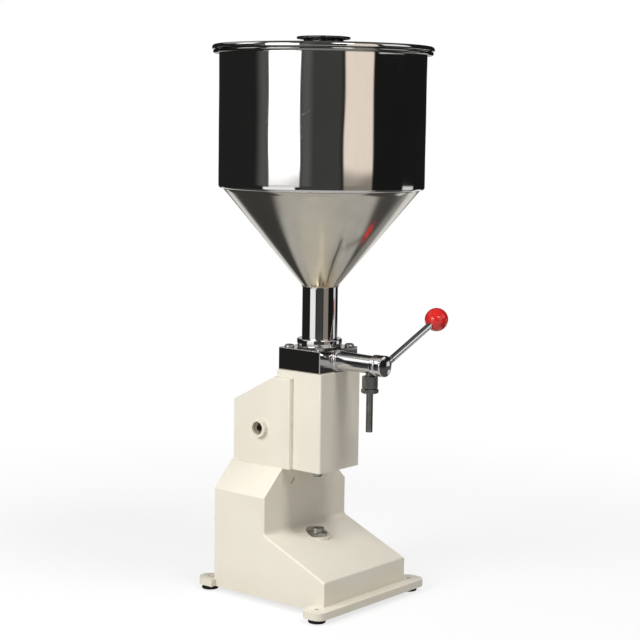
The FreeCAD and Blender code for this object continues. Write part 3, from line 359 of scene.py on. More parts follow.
@dataclass(frozen=True)
class Value:
    """Number that varies over a surface, with the arithmetic of a plain number."""

    graph: "Graph"
    socket: bpy.types.NodeSocket

    def _with(self, operation: str, *others: "Value | float") -> "Value":
        """Math node of this value and the others."""
        inputs = {0: self, **{i + 1: other for i, other in enumerate(others)}}
        return self.graph.value("ShaderNodeMath", {"operation": operation}, inputs)

    def _after(self, operation: str, first: float) -> "Value":
        """Math node of a plain number and this value."""
        return self.graph.value("ShaderNodeMath", {"operation": operation}, {0: first, 1: self})

    def __add__(self, other: "Value | float") -> "Value":
        """Sum."""
        return self._with("ADD", other)

    def __radd__(self, other: float) -> "Value":
        """Sum with a plain number first."""
        return self._with("ADD", other)

    def __sub__(self, other: "Value | float") -> "Value":
        """Difference."""
        return self._with("SUBTRACT", other)

    def __rsub__(self, other: float) -> "Value":
        """Difference from a plain number."""
        return self._after("SUBTRACT", other)

    def __mul__(self, other: "Value | float") -> "Value":
        """Product."""
        return self._with("MULTIPLY", other)

    def __rmul__(self, other: float) -> "Value":
        """Product with a plain number first."""
        return self._with("MULTIPLY", other)

    def __truediv__(self, other: "Value | float") -> "Value":
        """Quotient."""
        return self._with("DIVIDE", other)

    def __rtruediv__(self, other: float) -> "Value":
        """Plain number over this value."""
        return self._after("DIVIDE", other)

    def __neg__(self) -> "Value":
        """Opposite number."""
        return self._with("MULTIPLY", -1.0)

    def power(self, exponent: float) -> "Value":
        """This value to a power."""
        return self._with("POWER", exponent)

    def sine(self) -> "Value":
        """Sine of this value in radians."""
        return self._with("SINE")

    def magnitude(self) -> "Value":
        """This value without its sign."""
        return self._with("ABSOLUTE")

    def clamped(self) -> "Value":
        """This value kept between nought and one."""
        return self._with("MINIMUM", 1.0)._with("MAXIMUM", 0.0)

    def step(self, low: float, high: float) -> "Value":
        """Smooth step from nought at `low` to one at `high`."""
        settings = {"interpolation_type": "SMOOTHSTEP"}
        return self.graph.value("ShaderNodeMapRange", settings, {0: self, 1: low, 2: high, 3: 0.0, 4: 1.0})


class Graph:
    """Material under construction: nodes are added by type, with settings and inputs."""

    def __init__(self, name: str) -> None:
        """Start an empty material.

        Args:
            name: Name of the material.
        """
        self.material = bpy.data.materials.new(name)
        self.material.use_nodes = True
        self.tree = self.material.node_tree
        self.tree.nodes.clear()
        self.position = self.add("ShaderNodeTexCoord").outputs["Object"]

    def add(self, kind: str, settings: dict[str, Any] | None = None,
            inputs: dict[int | str, Any] | None = None) -> bpy.types.Node:
        """Add one node.

        Args:
            kind: Type of the node.
            settings: Properties that are set first.
            inputs: Socket names or numbers with the values or links that they get.

        Returns:
            The new node.
        """
        node = self.tree.nodes.new(kind)
        for key, setting in (settings or {}).items():
            setattr(node, key, setting)
        for key, given in (inputs or {}).items():
            given = given.socket if isinstance(given, Value) else given
            if isinstance(given, bpy.types.NodeSocket):
                self.tree.links.new(given, node.inputs[key])
            else:
                node.inputs[key].default_value = given
        return node

    def value(self, kind: str, settings: dict[str, Any] | None = None,
              inputs: dict[int | str, Any] | None = None, output: int | str = 0) -> Value:
        """Add one node and take one of its outputs as a number."""
        return Value(self, self.add(kind, settings, inputs).outputs[output])

    def axes(self) -> tuple[Value, Value, Value]:
        """The three object coordinates in metres."""
        split = self.add("ShaderNodeSeparateXYZ", inputs={0: self.position})
        return tuple(Value(self, split.outputs[i]) for i in range(3))

    def stretched(self, scale: tuple[float, float, float],
                  vector: bpy.types.NodeSocket | None = None) -> bpy.types.NodeSocket:
        """Coordinates multiplied along each axis."""
        inputs = {0: vector or self.position, 1: scale}
        return self.add("ShaderNodeVectorMath", {"operation": "MULTIPLY"}, inputs).outputs[0]

    def wrapped(self, axis: "Axis", centre: tuple[float, float, float], radius: float) -> bpy.types.NodeSocket:
        """Coordinates rolled off a cylinder: length round it, length along it, distance from it.

        Args:
            axis: Direction of the cylinder.
            centre: Point on its axis.
            radius: Radius at which lengths round it are true.

        Returns:
            Socket of the new coordinates.
        """
        moved = self.add("ShaderNodeVectorMath", {"operation": "SUBTRACT"}, {0: self.position, 1: centre})
        split = self.add("ShaderNodeSeparateXYZ", inputs={0: moved.outputs[0]})
        first, second, along = (Value(self, split.outputs[i]) for i in axis.value)
        angle = self.value("ShaderNodeMath", {"operation": "ARCTAN2"}, {0: second, 1: first})
        distance = (first * first + second * second).power(0.5)
        inputs = {0: angle * radius, 1: along, 2: distance}
        return self.add("ShaderNodeCombineXYZ", inputs={k: v for k, v in inputs.items()}).outputs[0]

    def noise(self, scale: float, detail: float = 3.0, roughness: float = 0.5, distortion: float = 0.0,
              vector: bpy.types.NodeSocket | None = None) -> Value:
        """Cloudy noise between nought and one.

        Args:
            scale: Features for each metre.
            detail: Finer layers added to the first.
            roughness: Strength of the finer layers.
            distortion: How far the pattern is pulled about.
            vector: Coordinates, the object's own by default.

        Returns:
            The noise.
        """
        inputs = {"Vector": vector or self.position, "Scale": scale, "Detail": detail,
                  "Roughness": roughness, "Distortion": distortion}
        return self.value("ShaderNodeTexNoise", None, inputs, "Fac")

    def cells(self, scale: float, feature: str = "DISTANCE_TO_EDGE",
              vector: bpy.types.NodeSocket | None = None) -> Value:
        """Distance in a pattern of irregular cells."""
        inputs = {"Vector": vector or self.position, "Scale": scale}
        return self.value("ShaderNodeTexVoronoi", {"feature": feature}, inputs, 0)

    def mixed(self, share: Value | float, first: Any, second: Any) -> bpy.types.NodeSocket:
        """Colour between two colours.

        Args:
            share: Nought for the first colour, one for the second.
            first: Colour or colour socket.
            second: Colour or colour socket.

        Returns:
            Socket of the mixed colour.
        """
        inputs = {0: share, 6: full_colour(first), 7: full_colour(second)}
        return self.add("ShaderNodeMix", {"data_type": "RGBA"}, inputs).outputs[2]

    def bumped(self, heights: Sequence[tuple[Value, float]]) -> bpy.types.NodeSocket:
        """Normal bent by one height after another.

        Args:
            heights: Pairs of a height between nought and one and its full size in metres.

        Returns:
            Socket of the normal.
        """
        normal = None
        for height, size in heights:
            inputs: dict[int | str, Any] = {"Height": height, "Distance": size, "Strength": 1.0}
            if normal is not None:
                inputs["Normal"] = normal
            normal = self.add("ShaderNodeBump", None, inputs).outputs[0]
        return normal

    def surface(self, fixed: dict[str, Any], varying: dict[str, Any]) -> bpy.types.Material:
        """Close the material with one principled shader.

        Args:
            fixed: Sockets that are the same all over.
            varying: Sockets that follow the surface.

        Returns:
            The finished material.
        """
        shader = self.add("ShaderNodeBsdfPrincipled", None, {**fixed, **varying})
        self.add("ShaderNodeOutputMaterial", None, {0: shader.outputs[0]})
        return self.material


def full_colour(colour: Any) -> Any:
    """Colour with full opacity, or the socket as it is."""
    return (*colour, 1.0) if isinstance(colour, tuple) and len(colour) == 3 else colour


class Axis(Enum):
    """Cylinder directions, as the order in which coordinates are read: two across and one along."""

    UP = (0, 1, 2)
    FORWARD = (2, 0, 1)
    SIDEWAYS = (1, 2, 0)


# Finishes


@dataclass(frozen=True)
class Finish:
    """Finish of a piece; subclasses describe how its surface is made."""

    name: str

    def material(self) -> bpy.types.Material:
        """The material, made once for each finish."""
        if self.name not in bpy.data.materials:
            self.make(Graph(self.name))
        return bpy.data.materials[self.name]

    def make(self, graph: Graph) -> bpy.types.Material:
        """Build the nodes of the finish."""
        raise NotImplementedError


@dataclass(frozen=True)
class Enamel(Finish):
    """Cream enamel sprayed on a rubbed-down casting: orange peel, soft waves, a faint darkening low down."""

    colour: Colour = (0.87, 0.82, 0.71)
    shade: Colour = (0.84, 0.785, 0.67)
    darker_tone: Colour = (0.70, 0.645, 0.54)
    gloss: float = 0.36

    def make(self, graph: Graph) -> bpy.types.Material:
        """Two tones of cream, a patchy darkening that fades upwards, scuffs, orange peel and casting waves."""
        cloud = graph.noise(9.0, 4.0, 0.55)
        fine = graph.noise(160.0, 3.0, 0.6)
        peel = graph.noise(620.0, 2.0, 0.5)
        waves = graph.noise(24.0, 2.0, 0.45)
        pits = graph.cells(240.0, "F1")
        height = graph.axes()[2]
        # Darker and rougher towards the bottom, in patches, fading out about 7 cm above the floor.
        low_down = 1.0 - height.step(0.0, 0.07)
        low_darkening = (low_down * graph.noise(55.0, 5.0, 0.65) * 0.55).clamped()
        scuff = graph.noise(70.0, 6.0, 0.7, 1.2).step(0.66, 0.74) * 0.25
        base = graph.mixed(cloud.step(0.3, 0.75), self.colour, self.shade)
        base = graph.mixed(fine.step(0.55, 0.8) * 0.12, base, self.darker_tone)
        base = graph.mixed((low_darkening + scuff * 0.4).clamped(), base, self.darker_tone)
        rough = (self.gloss + fine * 0.1 + low_darkening * 0.35 + scuff * 0.5).clamped()
        normal = graph.bumped([(waves, 0.00035), (peel, 0.00004), (pits, 0.00003)])
        return graph.surface({"Coat Roughness": 0.12, "Specular IOR Level": 0.5},
                             {"Base Color": base, "Roughness": rough, "Coat Weight": 0.25 - scuff * 0.2,
                              "Normal": normal})


@dataclass(frozen=True)
class Polished(Finish):
    """Stainless steel buffed to a mirror, with polishing lines round the axis and fine scratches."""

    axis: Axis = Axis.UP
    centre: tuple[float, float, float] = (0.0, 0.0, 0.0)
    radius: float = 0.15
    colour: Colour = (0.80, 0.79, 0.77)
    tint: Colour = (0.66, 0.65, 0.62)
    rough: float = 0.03
    scratches: float = 0.5
    dents: float = 0.00012
    mark: tuple[float, float, float, float] | None = None

    def make(self, graph: Graph) -> bpy.types.Material:
        """Mirror metal; lines, smears and scratches change its roughness and bend its normal."""
        rolled = graph.wrapped(self.axis, self.centre, self.radius)
        lines = graph.noise(1.0, 3.0, 0.6, 0.0, graph.stretched((14.0, 1900.0, 14.0), rolled))
        smears = graph.noise(11.0, 5.0, 0.6, 0.8, graph.stretched((1.0, 0.45, 1.0), rolled))
        pulled = graph.stretched((16.0, 90.0, 10.0), rolled)
        marks = 1.0 - graph.cells(1.0, "DISTANCE_TO_EDGE", pulled).step(0.0, 0.006)
        broken = graph.noise(30.0, 2.0, 0.5).step(0.56, 0.62)
        scratch = marks * broken * self.scratches
        if self.mark is not None:
            scratch = (scratch + self.one_mark(graph, rolled)).clamped()
        dent = graph.noise(7.0, 2.0, 0.4)
        base = graph.mixed(smears.step(0.35, 0.8) * 0.5, self.colour, self.tint)
        base = graph.mixed(scratch * 0.25, base, (0.9, 0.9, 0.9))
        rough = (self.rough + smears.step(0.5, 0.85) * 0.05 + lines * 0.02 + scratch * 0.12).clamped()
        normal = graph.bumped([(dent, self.dents), (lines, 0.0000006), (1.0 - scratch, 0.000001)])
        return graph.surface({"Metallic": 1.0, "Specular IOR Level": 0.5},
                             {"Base Color": base, "Roughness": rough, "Normal": normal})


    def one_mark(self, graph: Graph, rolled: bpy.types.NodeSocket) -> Value:
        """One long fine scratch.

        The mark holds its middle's angle, its middle's height, its length and its slope. Lengths along
        and across it are the rolled coordinates turned by the slope.
        """
        angle, height, length, slope = self.mark
        split = graph.add("ShaderNodeSeparateXYZ", inputs={0: rolled})
        side = Value(graph, split.outputs[0]) - angle * self.radius
        up = Value(graph, split.outputs[1]) - height
        along = (side * math.cos(slope) + up * math.sin(slope)).magnitude()
        across = (up * math.cos(slope) - side * math.sin(slope)).magnitude()
        return (1.0 - across.step(0.1 * MM, 0.5 * MM)) * (1.0 - along.step(length * 0.35, length * 0.5)) * 2.0


@dataclass(frozen=True)
class Satin(Finish):
    """Sheet steel rubbed with fine abrasive round the axis, with heat tint beside its welds."""

    axis: Axis = Axis.UP
    centre: tuple[float, float, float] = (0.0, 0.0, 0.0)
    radius: float = 0.08
    colour: Colour = (0.72, 0.685, 0.60)
    dark: Colour = (0.56, 0.525, 0.45)
    straw: Colour = (0.62, 0.47, 0.28)
    rough: float = 0.10
    seam: float = 0.0
    seam_width: float = 0.0
    tint_height: tuple[float, float] = (0.0, 0.0)

    def make(self, graph: Graph) -> bpy.types.Material:
        """Brushed metal; the straw tint fades with the distance from the seam and from the low end."""
        rolled = graph.wrapped(self.axis, self.centre, self.radius)
        brushed = graph.noise(1.0, 4.0, 0.65, 0.0, graph.stretched((22.0, 1400.0, 22.0), rolled))
        cloud = graph.noise(13.0, 4.0, 0.6, 0.6)
        spots = graph.noise(140.0, 3.0, 0.6)
        base = graph.mixed(cloud.step(0.3, 0.8) * 0.55 + brushed * 0.2, self.colour, self.dark)
        base = graph.mixed(spots.step(0.62, 0.75) * 0.2, base, self.dark)
        heat: Value | float = 0.0
        if self.seam_width > 0:
            split = graph.add("ShaderNodeSeparateXYZ", inputs={0: rolled})
            angle = Value(graph, split.outputs[0]) * (1.0 / self.radius)
            near = 1.0 - (angle - self.seam).magnitude().step(0.0, self.seam_width)
            low = 1.0 - graph.axes()[2].step(*self.tint_height)
            heat = (low * (near * 0.55 + graph.noise(60.0, 3.0, 0.6) * low * 0.45)).clamped()
            base = graph.mixed(heat, base, self.straw)
        rough = (self.rough + cloud * 0.05 + brushed * 0.05 + spots * 0.02).clamped()
        normal = graph.bumped([(cloud, 0.00012), (brushed, 0.0000015)])
        return graph.surface({"Metallic": 1.0},
                             {"Base Color": base, "Roughness": rough, "Normal": normal})


@dataclass(frozen=True)
class Chrome(Finish):
    """Bright plating over turned steel: faint waves, tiny pits and finger smears."""

    colour: Colour = (0.86, 0.86, 0.87)
    smear: Colour = (0.70, 0.70, 0.70)
    rough: float = 0.03
    wave: float = 0.00003

    def make(self, graph: Graph) -> bpy.types.Material:
        """Mirror metal with smears in its roughness and pits in its normal."""
        waves = graph.noise(60.0, 2.0, 0.4)
        smears = graph.noise(45.0, 5.0, 0.6, 1.0).step(0.5, 0.8)
        pits = graph.noise(700.0, 2.0, 0.5).step(0.7, 0.78)
        base = graph.mixed(smears * 0.35 + pits * 0.4, self.colour, self.smear)
        rough = (self.rough + smears * 0.1 + pits * 0.25).clamped()
        normal = graph.bumped([(waves, self.wave), (1.0 - pits, 0.000006)])
        return graph.surface({"Metallic": 1.0}, {"Base Color": base, "Roughness": rough, "Normal": normal})


@dataclass(frozen=True)
class Turned(Finish):
    """Bare steel with the fine grooves that a lathe tool leaves."""

    axis: Axis = Axis.UP
    centre: tuple[float, float, float] = (0.0, 0.0, 0.0)
    colour: Colour = (0.30, 0.293, 0.28)
    dark: Colour = (0.14, 0.136, 0.128)
    pitch: float = 0.00035
    rough: float = 0.15

    def make(self, graph: Graph) -> bpy.types.Material:
        """Grooves from a sine of the length along the axis, with oily stains over them."""
        rolled = graph.wrapped(self.axis, self.centre, 0.01)
        split = graph.add("ShaderNodeSeparateXYZ", inputs={0: rolled})
        along = Value(graph, split.outputs[1])
        groove = (along * (TURN / self.pitch)).sine() * 0.5 + 0.5
        stain = graph.noise(90.0, 5.0, 0.6, 0.8)
        base = graph.mixed(stain.step(0.35, 0.75) * 0.8 + groove * 0.1, self.colour, self.dark)
        rough = (self.rough + stain * 0.1 + groove * 0.03).clamped()
        normal = graph.bumped([(groove, 0.000008), (stain, 0.00002)])
        return graph.surface({"Metallic": 1.0}, {"Base Color": base, "Roughness": rough, "Normal": normal})


@dataclass(frozen=True)
class Plated(Finish):
    """Zinc-plated screw steel: dull sheen, cloudy spots and worn edges."""

    colour: Colour = (0.60, 0.60, 0.58)
    spot: Colour = (0.38, 0.37, 0.34)

    def make(self, graph: Graph) -> bpy.types.Material:
        """Cloudy colour and roughness with a fine grain."""
        cloud = graph.noise(150.0, 4.0, 0.6)
        grain = graph.noise(1500.0, 2.0, 0.5)
        base = graph.mixed(cloud.step(0.4, 0.75), self.colour, self.spot)
        rough = (0.24 + cloud * 0.2 + grain * 0.08).clamped()
        normal = graph.bumped([(grain, 0.00001)])
        return graph.surface({"Metallic": 1.0}, {"Base Color": base, "Roughness": rough, "Normal": normal})


@dataclass(frozen=True)
class RawIron(Finish):
    """Bare cast iron with a sand-cast skin and a little oil."""

    colour: Colour = (0.12, 0.115, 0.11)
    rust: Colour = (0.16, 0.08, 0.045)

    def make(self, graph: Graph) -> bpy.types.Material:
        """Sandy bumps, rust blooms and oily patches."""
        sand = graph.noise(900.0, 3.0, 0.6)
        bloom = graph.noise(40.0, 5.0, 0.65).step(0.58, 0.72)
        oil = graph.noise(18.0, 3.0, 0.5)
        base = graph.mixed(bloom * 0.4, self.colour, self.rust)
        rough = (0.62 - oil * 0.25 + bloom * 0.2).clamped()
        normal = graph.bumped([(sand, 0.0001)])
        return graph.surface({}, {"Base Color": base, "Roughness": rough, "Metallic": 0.6 - bloom * 0.5,
                                  "Normal": normal})


@dataclass(frozen=True)
class Bronze(Finish):
    """Turned bearing bronze, browned by oil."""

    colour: Colour = (0.72, 0.47, 0.22)
    brown: Colour = (0.34, 0.20, 0.10)

    def make(self, graph: Graph) -> bpy.types.Material:
        """Browned patches over a fine grain."""
        patch = graph.noise(120.0, 4.0, 0.6)
        grain = graph.noise(1300.0, 2.0, 0.5)
        base = graph.mixed(patch.step(0.4, 0.8), self.colour, self.brown)
        rough = (0.26 + patch * 0.2).clamped()
        normal = graph.bumped([(grain, 0.000008)])
        return graph.surface({"Metallic": 1.0}, {"Base Color": base, "Roughness": rough, "Normal": normal})


@dataclass(frozen=True)
class Rubber(Finish):
    """Moulded black rubber with bloom and a dusting of dirt."""

    colour: Colour = (0.014, 0.014, 0.015)
    bloom: Colour = (0.06, 0.058, 0.054)

    def make(self, graph: Graph) -> bpy.types.Material:
        """Pale bloom in clouds over a pebbled skin."""
        cloud = graph.noise(70.0, 5.0, 0.65)
        pebble = graph.noise(1100.0, 2.0, 0.5)
        base = graph.mixed(cloud.step(0.45, 0.8) * 0.7, self.colour, self.bloom)
        rough = (0.6 + cloud * 0.25).clamped()
        normal = graph.bumped([(pebble, 0.00006), (cloud, 0.0001)])
        return graph.surface({"Specular IOR Level": 0.35},
                             {"Base Color": base, "Roughness": rough, "Normal": normal})


@dataclass(frozen=True)
class Moulded(Finish):
    """Hard glossy plastic: clear skin, faint flow marks and hairline scratches."""

    colour: Colour = (0.74, 0.024, 0.022)
    deep: Colour = (0.60, 0.016, 0.014)
    rough: float = 0.07
    coat: float = 0.5

    def make(self, graph: Graph) -> bpy.types.Material:
        """Flow marks in the colour, hairlines in the roughness, and a soft unevenness."""
        flow = graph.noise(22.0, 3.0, 0.5, 0.8)
        hair = 1.0 - graph.cells(1.0, "DISTANCE_TO_EDGE", graph.stretched((160.0, 45.0, 90.0))).step(0.0, 0.01)
        worn = hair * graph.noise(80.0, 2.0, 0.5).step(0.6, 0.7)
        base = graph.mixed(flow.step(0.3, 0.8) * 0.25, self.colour, self.deep)
        rough = (self.rough + flow * 0.03 + worn * 0.08).clamped()
        normal = graph.bumped([(flow, 0.000006)])
        return graph.surface({"Coat Roughness": 0.04},
                             {"Base Color": base, "Roughness": rough, "Coat Weight": self.coat - worn * 0.3,
                              "Normal": normal})


ENAMEL = Enamel("cream_enamel")
RUBBER = Rubber("foot_rubber")
SEAL = Rubber("seal_rubber", (0.02, 0.02, 0.022), (0.05, 0.05, 0.05))
PLATED = Plated("plated_screw_steel")
IRON = RawIron("bare_cast_iron")
BRONZE = Bronze("bearing_bronze")
CHROME = Chrome("bright_chrome")
SOCKET_STEEL = Plated("socket_steel", (0.50, 0.49, 0.46), (0.30, 0.29, 0.27))
RED_BALL = Moulded("red_ball_plastic")
BLACK_KNOB = Moulded("black_knob_plastic", (0.012, 0.012, 0.013), (0.022, 0.022, 0.024), 0.2, 0.3)
MIRROR_SHEET = Polished("mirror_sheet", mark=(math.radians(-148.4), 0.714, 17.0 * MM, math.radians(33.7)))
# Painted shade: a darker copy of the mirror stainless, so that the rolled rim looks shaded by the gap under the
# lid.
SHADED_MIRROR_RIM = Polished("mirror_rim_painted_shade", colour=(0.34, 0.335, 0.32), tint=(0.26, 0.255, 0.24))
MIRROR_NECK = Polished("mirror_neck", radius=0.026, scratches=0.4, dents=0.00004)
MIRROR_BLOCK = Polished("mirror_block", radius=0.05, colour=(0.66, 0.65, 0.62), scratches=0.5, dents=0.00005)
SATIN_TURNED = Satin("satin_turned", radius=0.02)


# Sub-assemblies


@dataclass
class SubAssembly:
    """Group of pieces that belong together on the bench."""

    made: list[str] = field(default_factory=list, init=False)

    def place(self, piece: bpy.types.Object, finish: Finish, body: Body, slot: str,
              *stands_for: str) -> bpy.types.Object:
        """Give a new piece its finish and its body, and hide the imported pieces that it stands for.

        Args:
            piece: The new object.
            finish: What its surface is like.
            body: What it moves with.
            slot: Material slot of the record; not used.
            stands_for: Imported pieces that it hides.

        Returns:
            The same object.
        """
        piece.data.materials.clear()
        piece.data.materials.append(finish.material())
        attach(piece, body.value)
        if stands_for:
            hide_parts(*stands_for)
        self.made.append(piece.name)
        return piece

    def paint(self, node: str, finish: Finish) -> None:
        """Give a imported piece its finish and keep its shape."""
        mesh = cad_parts[node].data
        mesh.materials.clear()
        mesh.materials.append(finish.material())
        self.made.append(node)

    def build(self) -> None:
        """Make and dress all pieces of the group."""
        raise NotImplementedError


@dataclass
class Stand(SubAssembly):
    """Cast foot with its rubber feet, the bolts below the head and the post socket on the ramp."""

    edge: float = 1.6 * MM
    foot_round: float = 0.9 * MM
    foot_tread: float = 2.6 * MM
    foot_neck: float = 4.0 * MM
    foot_hole: float = 3.6 * MM
    socket_lip: float = 0.8 * MM
    socket_bore: float = 6.0 * MM
    socket_depth: float = 30.0 * MM

    def build(self) -> None:
        """Casting with softened edges, grooved feet, sleeve and nut."""
        casting = copied("base_casting_skin", "base_casting", self.edge)
        self.place(casting, ENAMEL, Body.FRAME, "cream_paint", "base_casting")
        self.place(self.feet(), RUBBER, Body.FRAME, "black_rubber", "rubber_feet")
        self.place(self.sleeve(), SOCKET_STEEL, Body.FRAME, "bright_chrome", "post_socket")
        self.place(self.nut(), SOCKET_STEEL, Body.FRAME, "screw_steel", "socket_nut")
        self.paint("casting_bolts", PLATED)

    def feet(self) -> bpy.types.Object:
        """Four rings: a broad tread below a narrower neck."""
        box = Extent.of("rubber_feet")
        points = loose_centres("rubber_feet")
        height = box.high.z
        outer = (points[0, 3] - points[0, 0]) / 2
        hole, neck, tread = self.foot_hole, outer - self.foot_neck, self.foot_tread
        outline = [(hole, 0.0), (outer, 0.0), (outer, tread), (neck, tread + MM), (neck, height), (hole, height)]
        radii = [0.3 * MM, self.foot_round, self.foot_round, 0.8 * MM, 0.4 * MM, 0.3 * MM]
        profile = rounded(outline, radii)
        centres = (points[:, :3] + points[:, 3:]) / 2
        rings = [revolved("foot", profile, Seat((x, y, 0.0)), 64) for x, y, _ in centres]
        return joined("rubber_feet_set", rings)

    def sleeve(self) -> bpy.types.Object:
        """Blind sleeve with a rounded lip and a turned step above the nut."""
        box = Extent.of("post_socket")
        outer, top, low = box.size.x / 2, box.high.z, box.low.z
        bore, floor = self.socket_bore, box.high.z - self.socket_depth
        outline = [(0.0, low), (outer, low), (outer, top), (bore, top), (bore, floor), (0.0, floor)]
        radii = [0.0, self.socket_lip, self.socket_lip, self.socket_lip, self.socket_lip, 0.0]
        profile = rounded(outline, radii, closed=False)
        seat = Seat((box.middle.x, box.middle.y, 0.0))
        return revolved("post_socket_sleeve", profile, seat, 72, closed=False)

    def nut(self) -> bpy.types.Object:
        """Hexagon nut round the sleeve."""
        box = Extent.of("socket_nut")
        seat = Seat((box.middle.x, box.middle.y, 0.0))
        hole = Extent.of("post_socket").size.x / 2 + 0.05 * MM
        return hexagonal("post_socket_nut", box.size.x, box.low.z, box.high.z, hole, 0.4 * MM, seat)


def loose_centres(node: str) -> np.ndarray:
    """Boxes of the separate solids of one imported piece, as rows of low and high corners.

    Args:
        node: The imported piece.

    Returns:
        Array of (solids, 6), sorted by place.
    """
    shells = bmesh.new()
    shells.from_mesh(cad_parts[node].data)
    bmesh.ops.remove_doubles(shells, verts=shells.verts, dist=2e-6)
    shells.verts.ensure_lookup_table()
    left = set(range(len(shells.verts)))
    boxes = []
    while left:
        stack, seen = [left.pop()], []
        while stack:
            vertex = shells.verts[stack.pop()]
            seen.append(tuple(vertex.co))
            near = {edge.other_vert(vertex).index for edge in vertex.link_edges} & left
            left -= near
            stack.extend(near)
        solid = np.array(seen)
        boxes.append(np.concatenate([solid.min(0), solid.max(0)]))
    shells.free()
    return np.array(sorted(boxes, key=lambda row: tuple(np.round(row, 4))))


@dataclass
class Head(SubAssembly):
    """Cast head with its rear cover and the cover's screws."""

    edge: float = 1.5 * MM
    cover_edge: float = 0.6 * MM
    head_dome: float = 0.8 * MM

    def build(self) -> None:
        """Casting with softened edges, plate and socket screws."""
        casting = copied("head_casting_skin", "head_casting", self.edge)
        self.place(casting, ENAMEL, Body.FRAME, "cream_paint", "head_casting")
        cover = copied("rear_cover_plate", "rear_cover", self.cover_edge)
        self.place(cover, ENAMEL, Body.FRAME, "cream_paint", "rear_cover")
        self.place(self.screws(), PLATED, Body.FRAME, "screw_steel", "cover_screws")

    def screws(self) -> bpy.types.Object:
        """Socket screws whose heads have rounded rims."""
        boxes = loose_centres("cover_screws")
        return socket_screws("cover_screw_set", boxes, Seat(along=(0.0, 1.0, 0.0)), 3.0 * MM,
                             2.5 * MM, 3.0 * MM, self.head_dome)


def socket_screws(name: str, boxes: np.ndarray, seat: Seat, head: float, shank: float, socket: float,
                  dome: float) -> bpy.types.Object:
    """Screws with a hexagon socket, each turned as one profile with a hexagonal well.

    The well's radius follows the hexagon, the rest is round.

    Args:
        name: Name of the joined object.
        boxes: Low and high corners of each screw.
        seat: Direction from the shank to the head.
        head: Height of the head.
        shank: Radius of the shank.
        socket: Size of the socket across flats.
        dome: Rounding of the head's rim.

    Returns:
        One object with all screws.
    """
    axis = int(np.argmax(np.abs(seat.along)))
    across = [i for i in range(3) if i != axis]
    made = []
    for row in boxes:
        low, high = row[:3], row[3:]
        radius = (high[across[0]] - low[across[0]]) / 2
        end, top = low[axis], high[axis]
        origin = list((low + high) / 2)
        origin[axis] = 0.0
        outline = [(0.0, end), (shank, end), (shank, top - head), (radius, top - head), (radius, top),
                   (socket / 2, top), (socket / 2, top - head * 0.55), (0.0, top - head * 0.55)]
        radii = [0.0, 0.4 * MM, 0.0, 0.2 * MM, dome, 0.1 * MM, 0.0, 0.0]
        profile = rounded(outline, radii, closed=False)
        count = 72
        angle = around(count)[None, :]
        from_middle = np.mod(angle + math.pi / 6, math.pi / 3) - math.pi / 6
        widths = np.repeat(profile[:, :1], count, 1)
        heights = np.repeat(profile[:, 1:], count, 1)
        well = (profile[:, :1] <= socket / 2 + 1e-6) & (profile[:, 1:] > top - head)
        widths = np.where(well, widths / np.cos(from_middle), widths)
        points = np.stack([widths * np.cos(angle), widths * np.sin(angle), heights], -1)
        place = Seat(tuple(origin), seat.along, seat.start)
        made.append(mesh_object("screw", place.carry(points), crease=30.0))
    return joined(name, made)


@dataclass
class ValveBlock(SubAssembly):
    """Polished block between head and hopper with its four button screws."""

    edge: float = 0.5 * MM
    head: float = 4.4 * MM
    shank: float = 4.0 * MM
    socket: float = 5.0 * MM
    dome: float = 3.2 * MM

    def build(self) -> None:
        """Block with a fine bevel, and screws with domed heads."""
        block = copied("valve_block_polished", "valve_block", self.edge, 2)
        self.place(block, MIRROR_BLOCK, Body.FRAME, "polished_stainless", "valve_block")
        boxes = loose_centres("block_screws")
        screws = socket_screws("block_screw_set", boxes, Seat(), self.head, self.shank, self.socket, self.dome)
        self.place(screws, PLATED, Body.FRAME, "screw_steel", "block_screws")


@dataclass
class RotaryValve(SubAssembly):
    """Fixed tube with its ring and gland nut, and the turning spindle inside."""

    ring_round: float = 1.6 * MM
    gland_round: float = 1.4 * MM
    gland_groove: float = 0.5 * MM
    gland_bore: float = 10.05 * MM

    def build(self) -> None:
        """Tube, bulged ring, gland nut with a groove; the inner pieces keep their shape."""
        tube = copied("valve_tube_chromed", "valve_tube", 0.4 * MM, 2, crease=40.0, flat=0.2)
        self.place(tube, CHROME, Body.FRAME, "bright_chrome", "valve_tube")
        self.place(self.ring(), CHROME, Body.FRAME, "bright_chrome", "tube_ring")
        self.place(self.gland(), CHROME, Body.FRAME, "bright_chrome", "gland_nut")
        self.paint("stop_pin", PLATED)
        self.paint("valve_spindle", SATIN_TURNED)
        self.paint("spindle_seals", SEAL)

    def axis_seat(self) -> Seat:
        """Seat whose own Z runs forward along the valve."""
        return Seat((0.0, 0.0, Extent.of("gland_nut").middle.z), (0.0, -1.0, 0.0), (1.0, 0.0, 0.0))

    def ring(self) -> bpy.types.Object:
        """Bulged ring that covers the joint between tube and block."""
        box = Extent.of("tube_ring")
        outer, inner = box.size.x / 2, Extent.of("valve_tube").size.x / 2 + 0.05 * MM
        near, far = -box.high.y, -box.low.y
        profile = rounded([(inner, near), (outer, near), (outer, far), (inner, far)],
                          [0.1 * MM, 0.6 * MM, self.ring_round, 0.3 * MM])
        return revolved("tube_ring_bulged", profile, self.axis_seat(), 96)

    def gland(self) -> bpy.types.Object:
        """Nut with rounded rims and a groove near its front."""
        box = Extent.of("gland_nut")
        outer, inner = box.size.x / 2, self.gland_bore
        near, far = -box.high.y, -box.low.y
        cut, depth = far - 3.2 * MM, self.gland_groove
        outline = [(inner, near), (outer, near), (outer, cut - depth), (outer - depth, cut),
                   (outer - depth, cut + depth), (outer, cut + 2 * depth), (outer, far), (inner, far)]
        radii = [0.2 * MM, self.gland_round, 0.2 * MM, 0.15 * MM, 0.15 * MM, 0.2 * MM, self.gland_round, 0.2 * MM]
        return revolved("gland_nut_bright", rounded(outline, radii), self.axis_seat(), 96)


